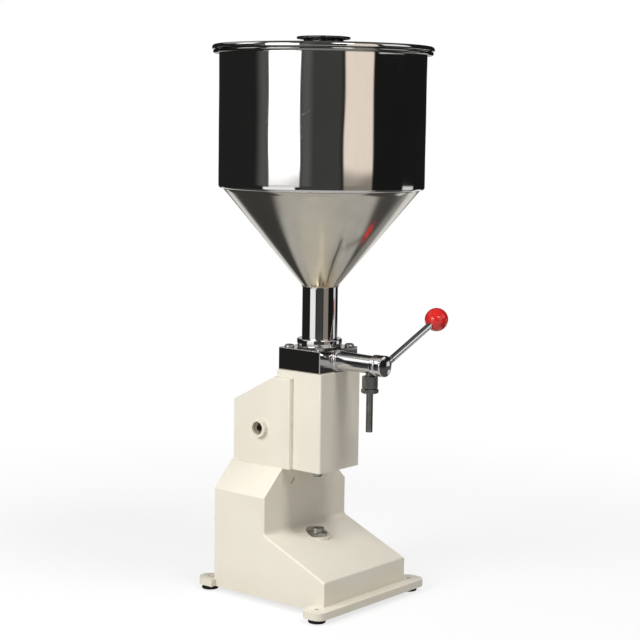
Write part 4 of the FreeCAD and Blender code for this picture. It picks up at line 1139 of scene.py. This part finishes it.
@dataclass
class Lever(SubAssembly):
    """Hub, rod and ball that turn the spindle."""

    angle: float = math.radians(24.0)
    crown: float = 3.0 * MM
    spigot_bore: float = 6.05 * MM
    spigot_depth: float = 10.1 * MM
    slot_low: float = 10.5 * MM
    slot_high: float = 14.3 * MM
    slot_depth: float = 3.4 * MM
    rod_radius: float = 5.0 * MM
    rod_start: float = 6.3 * MM
    ball_bore: float = 5.1 * MM
    thread_pitch: float = 1.5 * MM
    thread_depth: float = 0.25 * MM
    thread_length: float = 5.0 * MM
    mould_line: float = 0.05 * MM

    def build(self) -> None:
        """Domed hub, threaded rod, moulded ball."""
        self.place(self.hub(), CHROME, Body.VALVE, "bright_chrome", "lever_hub")
        self.place(self.rod(), CHROME, Body.VALVE, "bright_chrome", "lever_rod")
        self.place(self.ball(), RED_BALL, Body.VALVE, "red_ball", "ball_knob")

    def direction(self) -> tuple[float, float, float]:
        """Direction from the hub's middle to the ball."""
        return (math.cos(self.angle), 0.0, math.sin(self.angle))

    def hub_middle(self) -> Vector:
        """Middle of the hub on the valve's axis."""
        box = Extent.of("lever_hub")
        return Vector((0.0, box.middle.y, Extent.of("gland_nut").middle.z))

    def hub(self) -> bpy.types.Object:
        """Cap with a domed face, a blind bore for the spindle and a groove for the stop pin.

        The face is a ball's cap: its radius is (r squared plus crown squared) over twice the crown.
        """
        box = Extent.of("lever_hub")
        outer, near, far = box.size.x / 2, -box.high.y, -box.low.y
        ball = (outer ** 2 + self.crown ** 2) / (2 * self.crown)
        tilt = np.linspace(math.asin(outer / ball), 0.0, 18)
        dome = np.stack([ball * np.sin(tilt), far - ball + ball * np.cos(tilt)], 1)
        floor = near + self.spigot_depth
        inner = [(0.0, floor), (self.spigot_bore, floor), (self.spigot_bore, near), (self.slot_low, near),
                 (self.slot_low, near + self.slot_depth), (self.slot_high, near + self.slot_depth),
                 (self.slot_high, near), (outer, near)]
        outline = inner + [tuple(point) for point in dome]
        radii = [0.0] * 7 + [0.4 * MM, 1.2 * MM] + [0.0] * 17
        seat = Seat((0.0, 0.0, self.hub_middle().z), (0.0, -1.0, 0.0), (1.0, 0.0, 0.0))
        return revolved("lever_hub_domed", rounded(outline, radii, closed=False), seat, 128, closed=False)

    def rod(self) -> bpy.types.Object:
        """Rod with a cut thread next to the hub.

        Inside the thread the radius drops by the depth times a triangle wave of height over pitch
        minus angle over one turn, faded in and out at both ends.
        """
        radius, start = self.rod_radius, self.rod_start
        reach = (Extent.of("ball_knob").middle - self.hub_middle()).length
        hub_edge = Extent.of("lever_hub").size.x / 2
        profile = rounded([(0.0, start), (radius, start), (radius, reach), (0.0, reach)],
                          [0.0, 0.5 * MM, 0.5 * MM, 0.0], closed=False)
        profile = densified(profile, 0.35 * MM)
        low, high = hub_edge + 0.5 * MM, hub_edge + self.thread_length

        def thread(angle: np.ndarray, height: np.ndarray) -> np.ndarray:
            """Radius taken away by the thread."""
            phase = np.mod(height / self.thread_pitch - angle / TURN, 1.0)
            wave = 1.0 - np.abs(2.0 * phase - 1.0)
            fade = np.clip((height - low) / MM, 0.0, 1.0) * np.clip((high - height) / MM, 0.0, 1.0)
            return -self.thread_depth * wave * fade

        seat = Seat(tuple(self.hub_middle()), self.direction(), (0.0, 1.0, 0.0))
        return revolved("lever_rod_threaded", profile, seat, 48, closed=False, ripple=thread, crease=50.0)

    def ball(self) -> bpy.types.Object:
        """Ball with a flat where the rod enters and a mould line round its middle.

        A sphere in heights along the rod; the radius grows by a narrow bell curve at the mould line.
        """
        box = Extent.of("ball_knob")
        radius = box.size.y / 2
        neck = self.ball_bore + 0.3 * MM
        flat = math.sqrt(radius ** 2 - neck ** 2)
        angle = np.linspace(math.pi - math.asin(neck / radius), 0.0, 72)
        swell = self.mould_line * np.exp(-((np.cos(angle) * radius) / (0.35 * MM)) ** 2)
        shell = radius - self.mould_line
        sphere = np.stack([(shell + swell) * np.sin(angle), (shell + swell) * np.cos(angle)], 1)
        bore, floor = self.ball_bore, 6.0 * MM - flat
        hole = np.array([[0.0, floor], [bore, floor], [bore, -flat]])
        profile = np.concatenate([hole, sphere])
        seat = Seat(tuple(box.middle), self.direction(), (0.0, 1.0, 0.0))
        return revolved("ball_knob_moulded", profile, seat, 96, closed=False, crease=60.0)


@dataclass
class Nozzle(SubAssembly):
    """Adaptor, nut and thin tube below the valve tube."""

    bevel: float = 0.35 * MM
    lip: float = 0.5 * MM
    outer: float = 5.0 * MM
    inner: float = 3.5 * MM
    bore: float = 4.0 * MM
    hexagon_height: float = 18.0 * MM
    neck: float = 7.0 * MM
    stem: float = 6.0 * MM
    stem_height: float = 4.2 * MM
    turned: float = math.radians(38.0)

    def build(self) -> None:
        """Adaptor with turned corners and neck, nut, and tube with a rounded mouth."""
        finish = Turned("turned_nozzle", centre=tuple(self.centre()))
        self.place(self.adaptor(), finish, Body.FRAME, "turned_steel", "nozzle_adaptor")
        self.place(self.nut(), finish, Body.FRAME, "turned_steel", "nozzle_nut")
        self.place(self.tube(), finish, Body.FRAME, "bright_chrome", "nozzle_tube")

    def centre(self) -> Vector:
        """Point on the nozzle's axis, on the floor."""
        middle = Extent.of("nozzle_tube").middle
        return Vector((middle.x, middle.y, 0.0))

    def adaptor(self) -> bpy.types.Object:
        """Hexagon with its neck and stem as a second, turned shell."""
        box, nut = Extent.of("nozzle_adaptor"), Extent.of("nozzle_nut")
        seat = Seat(tuple(self.centre()))
        top, shoulder = nut.high.z + self.hexagon_height, box.high.z - self.stem_height
        body = hexagonal("adaptor", box.size.x, box.low.z, top, self.bore, self.bevel, seat, turned=self.turned)
        profile = rounded([(self.bore, top - MM), (self.neck, top - MM), (self.neck, shoulder),
                           (self.stem, shoulder), (self.stem, box.high.z), (self.bore, box.high.z)], 0.2 * MM)
        return joined("nozzle_adaptor_turned", [body, revolved("neck", profile, seat, 64)])

    def nut(self) -> bpy.types.Object:
        """Nut below the adaptor."""
        box = Extent.of("nozzle_nut")
        return hexagonal("nozzle_nut_turned", box.size.x, box.low.z, box.high.z, self.outer + 0.05 * MM, self.bevel,
                         Seat(tuple(self.centre())), turned=self.turned)

    def tube(self) -> bpy.types.Object:
        """Thin tube with a rounded mouth and its flange under the adaptor."""
        box = Extent.of("nozzle_tube")
        outer, inner, flange = self.outer, self.inner, box.size.x / 2
        seat_height = Extent.of("nozzle_nut").high.z + 0.05 * MM
        outline = [(inner, box.low.z), (outer, box.low.z), (outer, seat_height), (flange, seat_height),
                   (flange, box.high.z), (inner, box.high.z)]
        radii = [self.lip, self.lip, 0.2 * MM, 0.2 * MM, 0.2 * MM, 0.2 * MM]
        profile = densified(rounded(outline, radii), 4.0 * MM, closed=True)
        return revolved("nozzle_tube_drawn", profile, Seat(tuple(self.centre())), 56)


@dataclass
class PistonDrive(SubAssembly):
    """Metering cylinder, piston, crosshead and the rocker that the press shaft drives."""

    edge: float = 0.8 * MM

    def build(self) -> None:
        """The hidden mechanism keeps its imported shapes; only the arm's cast edges are softened."""
        turned = Turned("turned_shaft", Axis.SIDEWAYS, tuple(Extent.of("press_shaft").middle),
                        (0.60, 0.55, 0.47), (0.34, 0.30, 0.25), rough=0.42)
        upright = Turned("turned_upright")
        arm = copied("rocker_arm_cast", "rocker_arm", self.edge, 2)
        self.place(arm, IRON, Body.PRESS, "bare_cast_iron", "rocker_arm")
        for node, finish in (("metering_cylinder", SATIN_TURNED), ("cylinder_seal", SEAL),
                             ("piston", SATIN_TURNED), ("piston_rings", SEAL), ("piston_rod", upright),
                             ("rod_nut", PLATED), ("crosshead", upright), ("crosshead_pin", PLATED),
                             ("arm_pin", PLATED), ("press_shaft", turned), ("shaft_bushes", BRONZE),
                             ("guide_bush", BRONZE)):
            self.paint(node, finish)


@dataclass
class Hopper(SubAssembly):
    """Gasket, collar, neck, cone and barrel of the hopper with its welds and its rolled rim."""

    seam: float = math.radians(-119.0)
    seam_width: float = 1.5 * MM
    seam_height: float = 0.45 * MM
    bead: float = 1.1 * MM
    corner: float = 4.0 * MM
    cone_inset: float = 6.0 * MM
    rim_drop: float = 1.3 * MM
    barrel_drop: float = 2.5 * MM
    ripples: int = 64
    wave: float = 0.30 * MM
    wall: float = 1.5 * MM

    def build(self) -> None:
        """Sheet forms with slight waves, weld beads and turned rings."""
        cone = Extent.of("hopper_cone")
        satin = Satin("satin_cone", radius=0.08, seam=self.seam, seam_width=0.35,
                      tint_height=(cone.low.z, cone.low.z + 0.05))
        self.place(self.barrel(), MIRROR_SHEET, Body.FRAME, "polished_stainless", "hopper_barrel")
        self.place(self.cone(), satin, Body.FRAME, "satin_stainless", "hopper_cone")
        self.place(self.neck(), MIRROR_NECK, Body.FRAME, "polished_stainless", "hopper_neck")
        self.place(self.collar(), MIRROR_NECK, Body.FRAME, "polished_stainless", "hopper_collar")
        # The rim takes the darker copy of the mirror stainless, a painted shade.
        self.place(self.rim(), SHADED_MIRROR_RIM, Body.FRAME, "polished_stainless", "hopper_rim")
        self.place(self.neck_weld(), satin, Body.FRAME, "satin_stainless")
        self.place(self.cone_seam(), satin, Body.FRAME, "satin_stainless")
        self.paint("hopper_gasket", SEAL)

    def sheet_wave(self, angle: np.ndarray, height: np.ndarray) -> np.ndarray:
        """Radius error of rolled sheet: a few slow sines of angle and height, summed."""
        slow = np.sin(3 * angle + 1.3) * 0.4 + np.sin(5 * angle + 23 * height) * 0.3
        quick = np.sin(9 * angle - 41 * height + 0.6) * 0.2 + np.sin(2 * angle + 67 * height) * 0.25
        return self.wave * (slow + quick)

    def barrel(self) -> bpy.types.Object:
        """Drum whose lower edge turns in to meet the cone."""
        box = Extent.of("hopper_barrel")
        radius = box.size.x / 2 - self.wave
        inner = radius - self.wall
        low, high = box.low.z - self.barrel_drop, box.high.z
        foot = radius - self.cone_inset - MM
        outline = [(inner, high), (radius, high), (radius, low), (foot, low), (foot, low + self.wall),
                   (inner, low + self.wall)]
        radii = [0.1 * MM, 0.1 * MM, self.corner, 0.2 * MM, 0.2 * MM, self.corner - self.wall]
        profile = densified(rounded(outline, radii, steps=8), 6.0 * MM, closed=True)
        return revolved("hopper_barrel_drum", profile, count=224, ripple=self.sheet_wave)

    def cone(self) -> bpy.types.Object:
        """Straight cone of the same sheet, a little unround."""
        box, neck = Extent.of("hopper_cone"), Extent.of("hopper_neck")
        wide = box.size.x / 2 - self.wave - self.cone_inset
        narrow = neck.size.x / 2
        low, high = box.low.z, box.high.z - self.barrel_drop
        outline = [(narrow - self.wall, low), (narrow, low), (wide, high), (wide - self.wall * 1.4, high)]
        radii = [0.1 * MM, 0.1 * MM, self.wall * 0.6, 0.1 * MM]
        profile = densified(rounded(outline, radii, steps=4), 6.0 * MM, closed=True)

        def uneven(angle: np.ndarray, height: np.ndarray) -> np.ndarray:
            """Half of the drum's waves, and two creases beside the seam near the neck."""
            low_end = np.clip(1.0 - (height - low) / 0.03, 0.0, 1.0) ** 2
            creases = np.exp(-((angle - (self.seam % TURN) - 0.35) / 0.06) ** 2)
            creases = creases - np.exp(-((angle - (self.seam % TURN) + 0.28) / 0.08) ** 2)
            return 0.5 * self.sheet_wave(angle, height) + 0.5 * MM * low_end * creases

        return revolved("hopper_cone_sheet", profile, count=224, ripple=uneven)

    def neck(self) -> bpy.types.Object:
        """Pipe with rounded ends."""
        box = Extent.of("hopper_neck")
        radius = box.size.x / 2
        profile = rounded([(radius - 3.0 * MM, box.low.z), (radius, box.low.z), (radius, box.high.z),
                           (radius - 3.0 * MM, box.high.z)], 0.3 * MM)
        return revolved("hopper_neck_pipe", densified(profile, 5.0 * MM, closed=True), count=128)

    def collar(self) -> bpy.types.Object:
        """Turned ring with rounded edges."""
        box = Extent.of("hopper_collar")
        radius, inner = box.size.x / 2, Extent.of("hopper_neck").size.x / 2 + 0.05 * MM
        low, high = box.low.z, box.high.z
        outline = [(inner, low), (radius, low), (radius, high), (inner, high)]
        radii = [0.2 * MM, 1.0 * MM, 1.6 * MM, 0.3 * MM]
        return revolved("hopper_collar_ring", rounded(outline, radii), count=128)

    def rim(self) -> bpy.types.Object:
        """Sheet rolled outwards into a rounded rim."""
        box = Extent.of("hopper_rim")
        outer, inner = box.size.x / 2, Extent.of("hopper_barrel").size.x / 2 - self.wall
        low = box.low.z - self.rim_drop
        half = (box.high.z - low) / 2 - 0.05 * MM
        outline = [(inner, low), (outer, low), (outer, box.high.z), (inner, box.high.z)]
        return revolved("hopper_rim_rolled", rounded(outline, [0.3 * MM, half, half, 0.6 * MM]), count=192)

    def neck_weld(self) -> bpy.types.Object:
        """Weld bead between neck and cone: a ring whose thickness pulses along its length."""
        box = Extent.of("hopper_neck")
        angle = around(288)[None, :]
        across = around(12)[:, None]
        pulse = 1.0 + 0.16 * np.sin(self.ripples * angle) + 0.1 * np.sin(11 * angle)
        radius = box.size.x / 2 + self.bead * pulse * np.cos(across)
        height = box.high.z + 0.3 * MM + 0.8 * self.bead * pulse * np.sin(across)
        points = np.stack([radius * np.cos(angle), radius * np.sin(angle), height], -1)
        return mesh_object("hopper_neck_weld", points, closed_rows=True, crease=80.0)

    def cone_seam(self) -> bpy.types.Object:
        """Weld along one straight line of the cone, ground away towards the top.

        The bead is a flat ellipse in section; its height fades with a smooth step up the cone and
        pulses as a hand-held torch leaves it.
        """
        box, neck = Extent.of("hopper_cone"), Extent.of("hopper_neck").size.x / 2
        wide = box.size.x / 2 - self.wave - self.cone_inset
        share = np.linspace(0.01, 0.62, 160)[:, None]
        radius = neck + (wide - neck) * share
        height = box.low.z + (box.size.z - self.barrel_drop) * share
        slope = math.atan2(wide - neck, box.size.z)
        fade = 1.0 - share / 0.62
        fade = fade * fade * (3.0 - 2.0 * fade)
        pulse = 1.0 + 0.2 * np.sin(share * 380.0) + 0.12 * np.sin(share * 97.0)
        across = around(12)[None, :]
        side = self.seam_width * (0.35 + 0.65 * fade) * np.cos(across) / radius
        lift = self.seam_height * fade * pulse * np.sin(across)
        angle = self.seam + side
        out = radius + lift * math.cos(slope) + 0.5 * self.sheet_wave(angle, height)
        points = np.stack([out * np.cos(angle), out * np.sin(angle), height - lift * math.sin(slope)], -1)
        ends = points[[0, -1]].mean(1, keepdims=True).repeat(points.shape[1], 1)
        points = np.concatenate([ends[:1], points, ends[1:]])
        return mesh_object("hopper_cone_seam", points, crease=80.0)


@dataclass
class HopperLid(SubAssembly):
    """Spun lid with its knob."""

    edge_round: float = 3.9 * MM
    sheet: float = 1.5 * MM
    rise: float = 6.5 * MM
    crown: float = 40.0 * MM
    channel: float = 4.0 * MM
    skirt: float = 147.0 * MM
    skirt_low: float = 12.8 * MM
    hole: float = 3.05 * MM
    grip: float = 28.8 * MM
    bead: float = 1.9 * MM
    grip_dents: int = 8
    dent: float = 1.2 * MM
    lobe: float = math.radians(-50.0)

    def build(self) -> None:
        """Lid with a rolled edge, and knob with a lobed brim."""
        self.place(self.lid(), MIRROR_SHEET, Body.LID, "polished_stainless", "lid")
        self.place(self.knob(), BLACK_KNOB, Body.LID, "black_knob", "lid_knob")
        self.paint("knob_screw", PLATED)

    def lid(self) -> bpy.types.Object:
        """Spun sheet that rises to its middle, a rolled edge round it and a skirt that centres it."""
        box = Extent.of("lid")
        edge, low = box.size.x / 2, Extent.of("hopper_rim").high.z + 0.3 * MM
        bead, rise, sheet = edge - self.channel, self.rise, self.sheet
        outline = [(self.hole, low + rise), (self.crown, low + rise), (bead - self.channel, low), (edge, low),
                   (edge, low + rise), (bead, low + rise), (bead, low + sheet),
                   (bead - self.channel, low + sheet), (self.crown, low + rise + sheet),
                   (self.hole, low + rise + sheet)]
        radii = [0.1 * MM, 20.0 * MM, 2.0 * MM, 0.9 * MM, self.edge_round, 0.0, 0.5 * MM, 1.0 * MM,
                 20.0 * MM, 0.1 * MM]
        profile = densified(rounded(outline, radii, steps=10), 8.0 * MM, closed=True)
        dish = revolved("dish", profile, count=224)
        skirt = rounded([(self.skirt - sheet, low - self.skirt_low), (self.skirt, low - self.skirt_low),
                         (self.skirt, low + sheet), (self.skirt - sheet, low + sheet)], 0.3 * MM)
        return joined("lid_spun", [dish, revolved("skirt", skirt, count=224)])

    def knob(self) -> bpy.types.Object:
        """Round knob: straight body, thin brim with a beaded lobed edge, low boss in its middle."""
        box, screw = Extent.of("lid_knob"), Extent.of("knob_screw")
        base, top, brim = box.low.z, box.high.z, box.size.x / 2
        hole, bead, boss = self.hole, self.bead, 8.0 * MM
        middle = base + 9.9 * MM
        plate = top - 0.8 * MM
        outline = [(hole, base), (self.grip, base), (self.grip, middle - 0.8 * MM),
                   (brim - 2 * bead, middle - 0.6 * MM), (brim - bead, middle - bead), (brim, middle - bead),
                   (brim, middle + bead), (brim - bead, middle + bead), (brim - 2 * bead, middle + 0.9 * MM),
                   (self.grip - MM, plate), (boss + 2.0 * MM, plate), (boss, top), (0.0, top)]
        radii = [0.0, 0.6 * MM, 0.5 * MM, 0.6 * MM, 0.2 * MM, bead * 0.95, bead * 0.95, 0.2 * MM, 0.6 * MM,
                 1.5 * MM, 0.8 * MM, 0.8 * MM, 0.0]
        profile = rounded(outline, radii, closed=False)
        cap = np.array([[0.0, screw.high.z + 0.3 * MM], [hole, screw.high.z + 0.3 * MM]])
        profile = np.concatenate([cap, densified(profile, 3.0 * MM)])

        def scallops(angle: np.ndarray, height: np.ndarray) -> np.ndarray:
            """Finger hollows round the upper part of the knob."""
            near = np.clip((height - middle + 3.0 * MM) / MM, 0.0, 1.0)
            return -self.dent * near * (0.5 - 0.5 * np.cos(self.grip_dents * (angle - self.lobe)))

        return revolved("lid_knob_moulded", profile, count=192, closed=False, ripple=scallops, crease=40.0)


# Studio


class Tone(Enum):
    """Colour of a pane's light."""

    WHITE = 0
    WARM = 1


@dataclass(frozen=True)
class Pane:
    """Lit patch of the drapes between two bearings and two reaches.

    A bearing is the angle from the camera's direction in degrees, to the camera's right. A reach is
    the length of the way out along the floor, up the wall and in over the ceiling, in metres.
    """

    left: float
    right: float
    near: float
    far: float
    glow: float
    soft: float = 2.0
    fade: float = 0.05
    tone: Tone = Tone.WHITE

    def light(self, bearing: Value, reach: Value) -> Value:
        """Glow inside the patch, with soft edges."""
        across = window(bearing, math.radians(self.left), math.radians(self.right), math.radians(self.soft))
        return across * window(reach, self.near, self.far, self.fade) * self.glow


WALL = 2.6
CEILING = 6.0
PANES = (
    Pane(-66, -29, WALL, WALL + 0.40, 1.0, 1.2),
    Pane(-59, -24, WALL + 0.40, WALL + 1.6, 0.75, 1.2),
    Pane(-59, -24, WALL + 0.54, WALL + 1.6, 1.45, 1.2, 0.025),
    Pane(-57, -33, WALL + 1.05, WALL + 1.55, 5.0, 4.0),
    Pane(23, 55, WALL, WALL + 2.4, 0.26, 1.5, 0.05, Tone.WARM),
    Pane(23, 55, WALL + 0.54, WALL + 2.4, 0.66, 1.5, 0.03, Tone.WARM),
    Pane(10, 31, WALL + 1.75, WALL + 2.5, 4.5, 3.0),
    Pane(-24, 21, WALL, CEILING, 0.05, 4.0),
    Pane(-22, -12, WALL + 0.45, CEILING, 0.05, 4.0),
    Pane(-72, -58, WALL + 0.45, CEILING, 0.08, 6.0),
    Pane(-200, -60, WALL, CEILING, 0.014),
    Pane(55, 200, WALL, CEILING, 0.008),
    Pane(-99, -74, WALL + 1.25, WALL + 2.75, 1.3, 3.0, 0.1),
    Pane(-150, -96, WALL + 2.0, CEILING + 0.7, 0.45, 3.0, 0.1),
    Pane(62, 97, WALL + 1.0, WALL + 2.3, 1.0, 3.0, 0.05),
    Pane(62, 94, WALL + 2.3, WALL + 3.1, 0.35, 3.0, 0.1),
    Pane(98, 118, WALL, WALL + 0.46, 0.75, 2.0),
    Pane(168, 200, WALL + 0.1, WALL + 1.1, 0.5),
    Pane(-200, -168, WALL + 0.1, WALL + 1.1, 0.5),
    Pane(-200, 200, CEILING, 9.0, 0.085),
    Pane(-200, 200, -1.0, 0.41, 0.52, 2.0, 0.04),
    Pane(-66, 60, 0.41, WALL, 0.52, 4.0, 0.04),
    Pane(-147, -66, 0.45, 1.5, 0.05, 2.0, 0.04),
    Pane(-200, -66, 1.5, WALL, 0.018, 2.0, 0.04),
    Pane(-200, -147, 0.41, WALL, 0.8, 2.5, 0.04),
    Pane(60, 132, 0.41, 0.50, 0.50, 2.0, 0.03),
    Pane(60, 132, 0.50, 1.9, 0.07, 2.0, 0.03),
    Pane(60, 132, 1.9, WALL, 0.035, 2.0, 0.03),
    Pane(110, 126, 0.85, 1.3, 0.7, 2.0, 0.05),
    Pane(132, 200, 0.41, 1.2, 0.30, 2.5, 0.05),
    Pane(132, 200, 1.2, WALL, 0.85, 2.5, 0.1),
)


@dataclass
class Studio:
    """Pale floor, soft lamps, the drapes that polished metal mirrors, and the camera."""

    camera_place: tuple[float, float, float] = (-1.8033, -1.5066, 0.7046)
    camera_azimuth: float = math.radians(-50.13)
    camera_elevation: float = math.radians(7.09)
    camera_roll: float = math.radians(0.79)
    lens: float = 90.72
    wall_radius: float = WALL
    wall_height: float = CEILING - WALL
    skirt_radius: float = 0.25
    ambient: float = 0.30

    def build(self) -> None:
        """Set the scene around the object."""
        self.floor()
        self.drapes()
        self.lamps()
        self.world()
        self.camera()
        bpy.context.scene.view_settings.view_transform = "Standard"

    def floor(self) -> None:
        """Large pale sheet; seen directly it is lifted to white, fully so away from the object."""
        share = np.linspace(-1.0, 1.0, 3)
        x, y = np.meshgrid(share * 14.0, share * 14.0, indexing="ij")
        points = np.stack([x, y, np.zeros_like(x)], -1)
        sheet = mesh_object("floor", points, closed_columns=False)
        graph = Graph("floor_paper")
        path = graph.add("ShaderNodeLightPath")
        seen = Value(graph, path.outputs["Is Camera Ray"])
        grain = graph.noise(90.0, 3.0, 0.5)
        plain = graph.mixed(grain, (0.58, 0.57, 0.55), (0.55, 0.54, 0.52))
        bright = graph.mixed(grain, (0.98, 0.98, 0.98), (0.96, 0.96, 0.96))
        paper = graph.add("ShaderNodeBsdfDiffuse", None, {"Color": graph.mixed(seen, plain, bright)})
        lift = graph.add("ShaderNodeEmission", None, {"Color": (1.0, 1.0, 1.0, 1.0), "Strength": 1.0})
        across, along, _ = graph.axes()
        away = (across * across + along * along).power(0.5).step(0.5, 1.3)
        share_seen = seen * (away * 0.25 + 0.75)
        both = graph.add("ShaderNodeMixShader", None, {0: share_seen, 1: paper.outputs[0], 2: lift.outputs[0]})
        graph.add("ShaderNodeOutputMaterial", None, {0: both.outputs[0]})
        sheet.data.materials.append(graph.material)

    def drapes(self) -> None:
        """Closed sheet round the set that only reflections see: floor, wall and ceiling in one turn.

        Its profile is carried once round the set, and its light is the sum of the panes.
        """
        low = 0.012
        radii = np.array([self.skirt_radius, 1.0, self.wall_radius, self.wall_radius, self.wall_radius, 1.0, 0.0])
        heights = np.array([low, low, low, 1.5, self.wall_height, self.wall_height, self.wall_height])
        angle = around(144)
        points = np.stack([radii[:, None] * np.cos(angle), radii[:, None] * np.sin(angle),
                           np.repeat(heights[:, None], len(angle), 1)], -1)
        drape = mesh_object("drapes", points)
        graph = Graph("drape_cloth")
        facing = math.atan2(self.camera_place[1], self.camera_place[0])
        x, y, z = graph.axes()
        ahead = x * math.cos(facing) + y * math.sin(facing)
        aside = y * math.cos(facing) - x * math.sin(facing)
        bearing = graph.value("ShaderNodeMath", {"operation": "ARCTAN2"}, {0: aside, 1: ahead})
        radius = (x * x + y * y).power(0.5)
        overhead = z.step(self.wall_height - 0.002, self.wall_height - 0.001)
        reach = radius + z + overhead * (self.wall_radius - radius) * 2.0
        total: Value | float = 0.003
        warm: Value | float = 0.0
        for pane in PANES:
            light = pane.light(bearing, reach)
            total = light + total
            if pane.tone is Tone.WARM:
                warm = light + warm
        tone = graph.mixed((warm / total).clamped(), (1.0, 1.0, 1.0), (1.0, 0.88, 0.76))
        light = graph.add("ShaderNodeEmission", None, {"Color": tone, "Strength": total})
        graph.add("ShaderNodeOutputMaterial", None, {0: light.outputs[0]})
        drape.data.materials.append(graph.material)
        drape.visible_camera = False
        drape.visible_diffuse = False
        drape.visible_shadow = False
        drape.visible_transmission = False
        drape.visible_volume_scatter = False

    def lamps(self) -> None:
        """Broad key light from the left of the camera and a smaller one overhead to the front."""
        for name, place, size, power in (("key", (-2.3, 0.45, 1.55), 1.3, 49.0),
                                         ("top", (-0.1, -1.15, 2.6), 0.6, 30.0)):
            light = bpy.data.lights.new(name, "AREA")
            light.shape = "SQUARE"
            light.size = size
            light.energy = power
            lamp = bpy.data.objects.new(name, light)
            lamp.location = place
            aim = Vector((0.0, 0.0, 0.35)) - lamp.location
            lamp.rotation_euler = aim.to_track_quat("-Z", "Y").to_euler()
            lamp.visible_glossy = False
            bpy.context.scene.collection.objects.link(lamp)

    def world(self) -> None:
        """White when seen or mirrored, a plain soft level as light."""
        world = bpy.data.worlds.new("studio_world")
        bpy.context.scene.world = world
        world.use_nodes = True
        tree = world.node_tree
        tree.nodes.clear()
        path = tree.nodes.new("ShaderNodeLightPath")
        seen = tree.nodes.new("ShaderNodeMath")
        seen.operation = "MAXIMUM"
        tree.links.new(path.outputs["Is Camera Ray"], seen.inputs[0])
        tree.links.new(path.outputs["Is Glossy Ray"], seen.inputs[1])
        through = tree.nodes.new("ShaderNodeMath")
        through.operation = "MAXIMUM"
        tree.links.new(seen.outputs[0], through.inputs[0])
        tree.links.new(path.outputs["Is Transmission Ray"], through.inputs[1])
        level = tree.nodes.new("ShaderNodeMapRange")
        level.inputs[3].default_value = self.ambient
        level.inputs[4].default_value = 1.0
        tree.links.new(through.outputs[0], level.inputs[0])
        light = tree.nodes.new("ShaderNodeBackground")
        light.inputs["Color"].default_value = (1.0, 1.0, 1.0, 1.0)
        tree.links.new(level.outputs[0], light.inputs["Strength"])
        output = tree.nodes.new("ShaderNodeOutputWorld")
        tree.links.new(light.outputs[0], output.inputs[0])

    def camera(self) -> None:
        """Long lens at the viewing angle, with a slight roll."""
        data = bpy.data.cameras.new("camera")
        data.lens = self.lens
        data.sensor_width = 36.0
        data.clip_end = 60.0
        camera = bpy.data.objects.new("camera", data)
        a, e = self.camera_azimuth, self.camera_elevation
        back = Vector((math.sin(a) * math.cos(e), -math.cos(a) * math.cos(e), math.sin(e)))
        right = Vector((0.0, 0.0, 1.0)).cross(back).normalized()
        up = back.cross(right)
        turn = Matrix((right, up, back)).transposed().to_4x4()
        camera.matrix_world = Matrix.Translation(self.camera_place) @ turn @ Matrix.Rotation(
            self.camera_roll, 4, "Z")
        bpy.context.scene.collection.objects.link(camera)
        bpy.context.scene.camera = camera


def window(along: Value, low: float, high: float, soft: float) -> Value:
    """One between two limits and nought outside, with edges that are twice `soft` wide."""
    rise = along.step(low - soft, low + soft)
    fall = along.step(high - soft, high + soft)
    return rise * (1.0 - fall)


def main() -> None:
    """Build every sub-assembly in order and report its pieces."""
    logging.basicConfig(level=logging.INFO, format="%(name)s: %(message)s")
    groups: Iterable[SubAssembly] = (Stand(), Head(), ValveBlock(), RotaryValve(), Lever(), Nozzle(),
                                     PistonDrive(), Hopper(), HopperLid())
    for group in groups:
        group.build()
        for name in group.made:
            LOG.info("%s: %s", type(group).__name__, name)
    Studio().build()


if __name__ == "__main__":
    main()
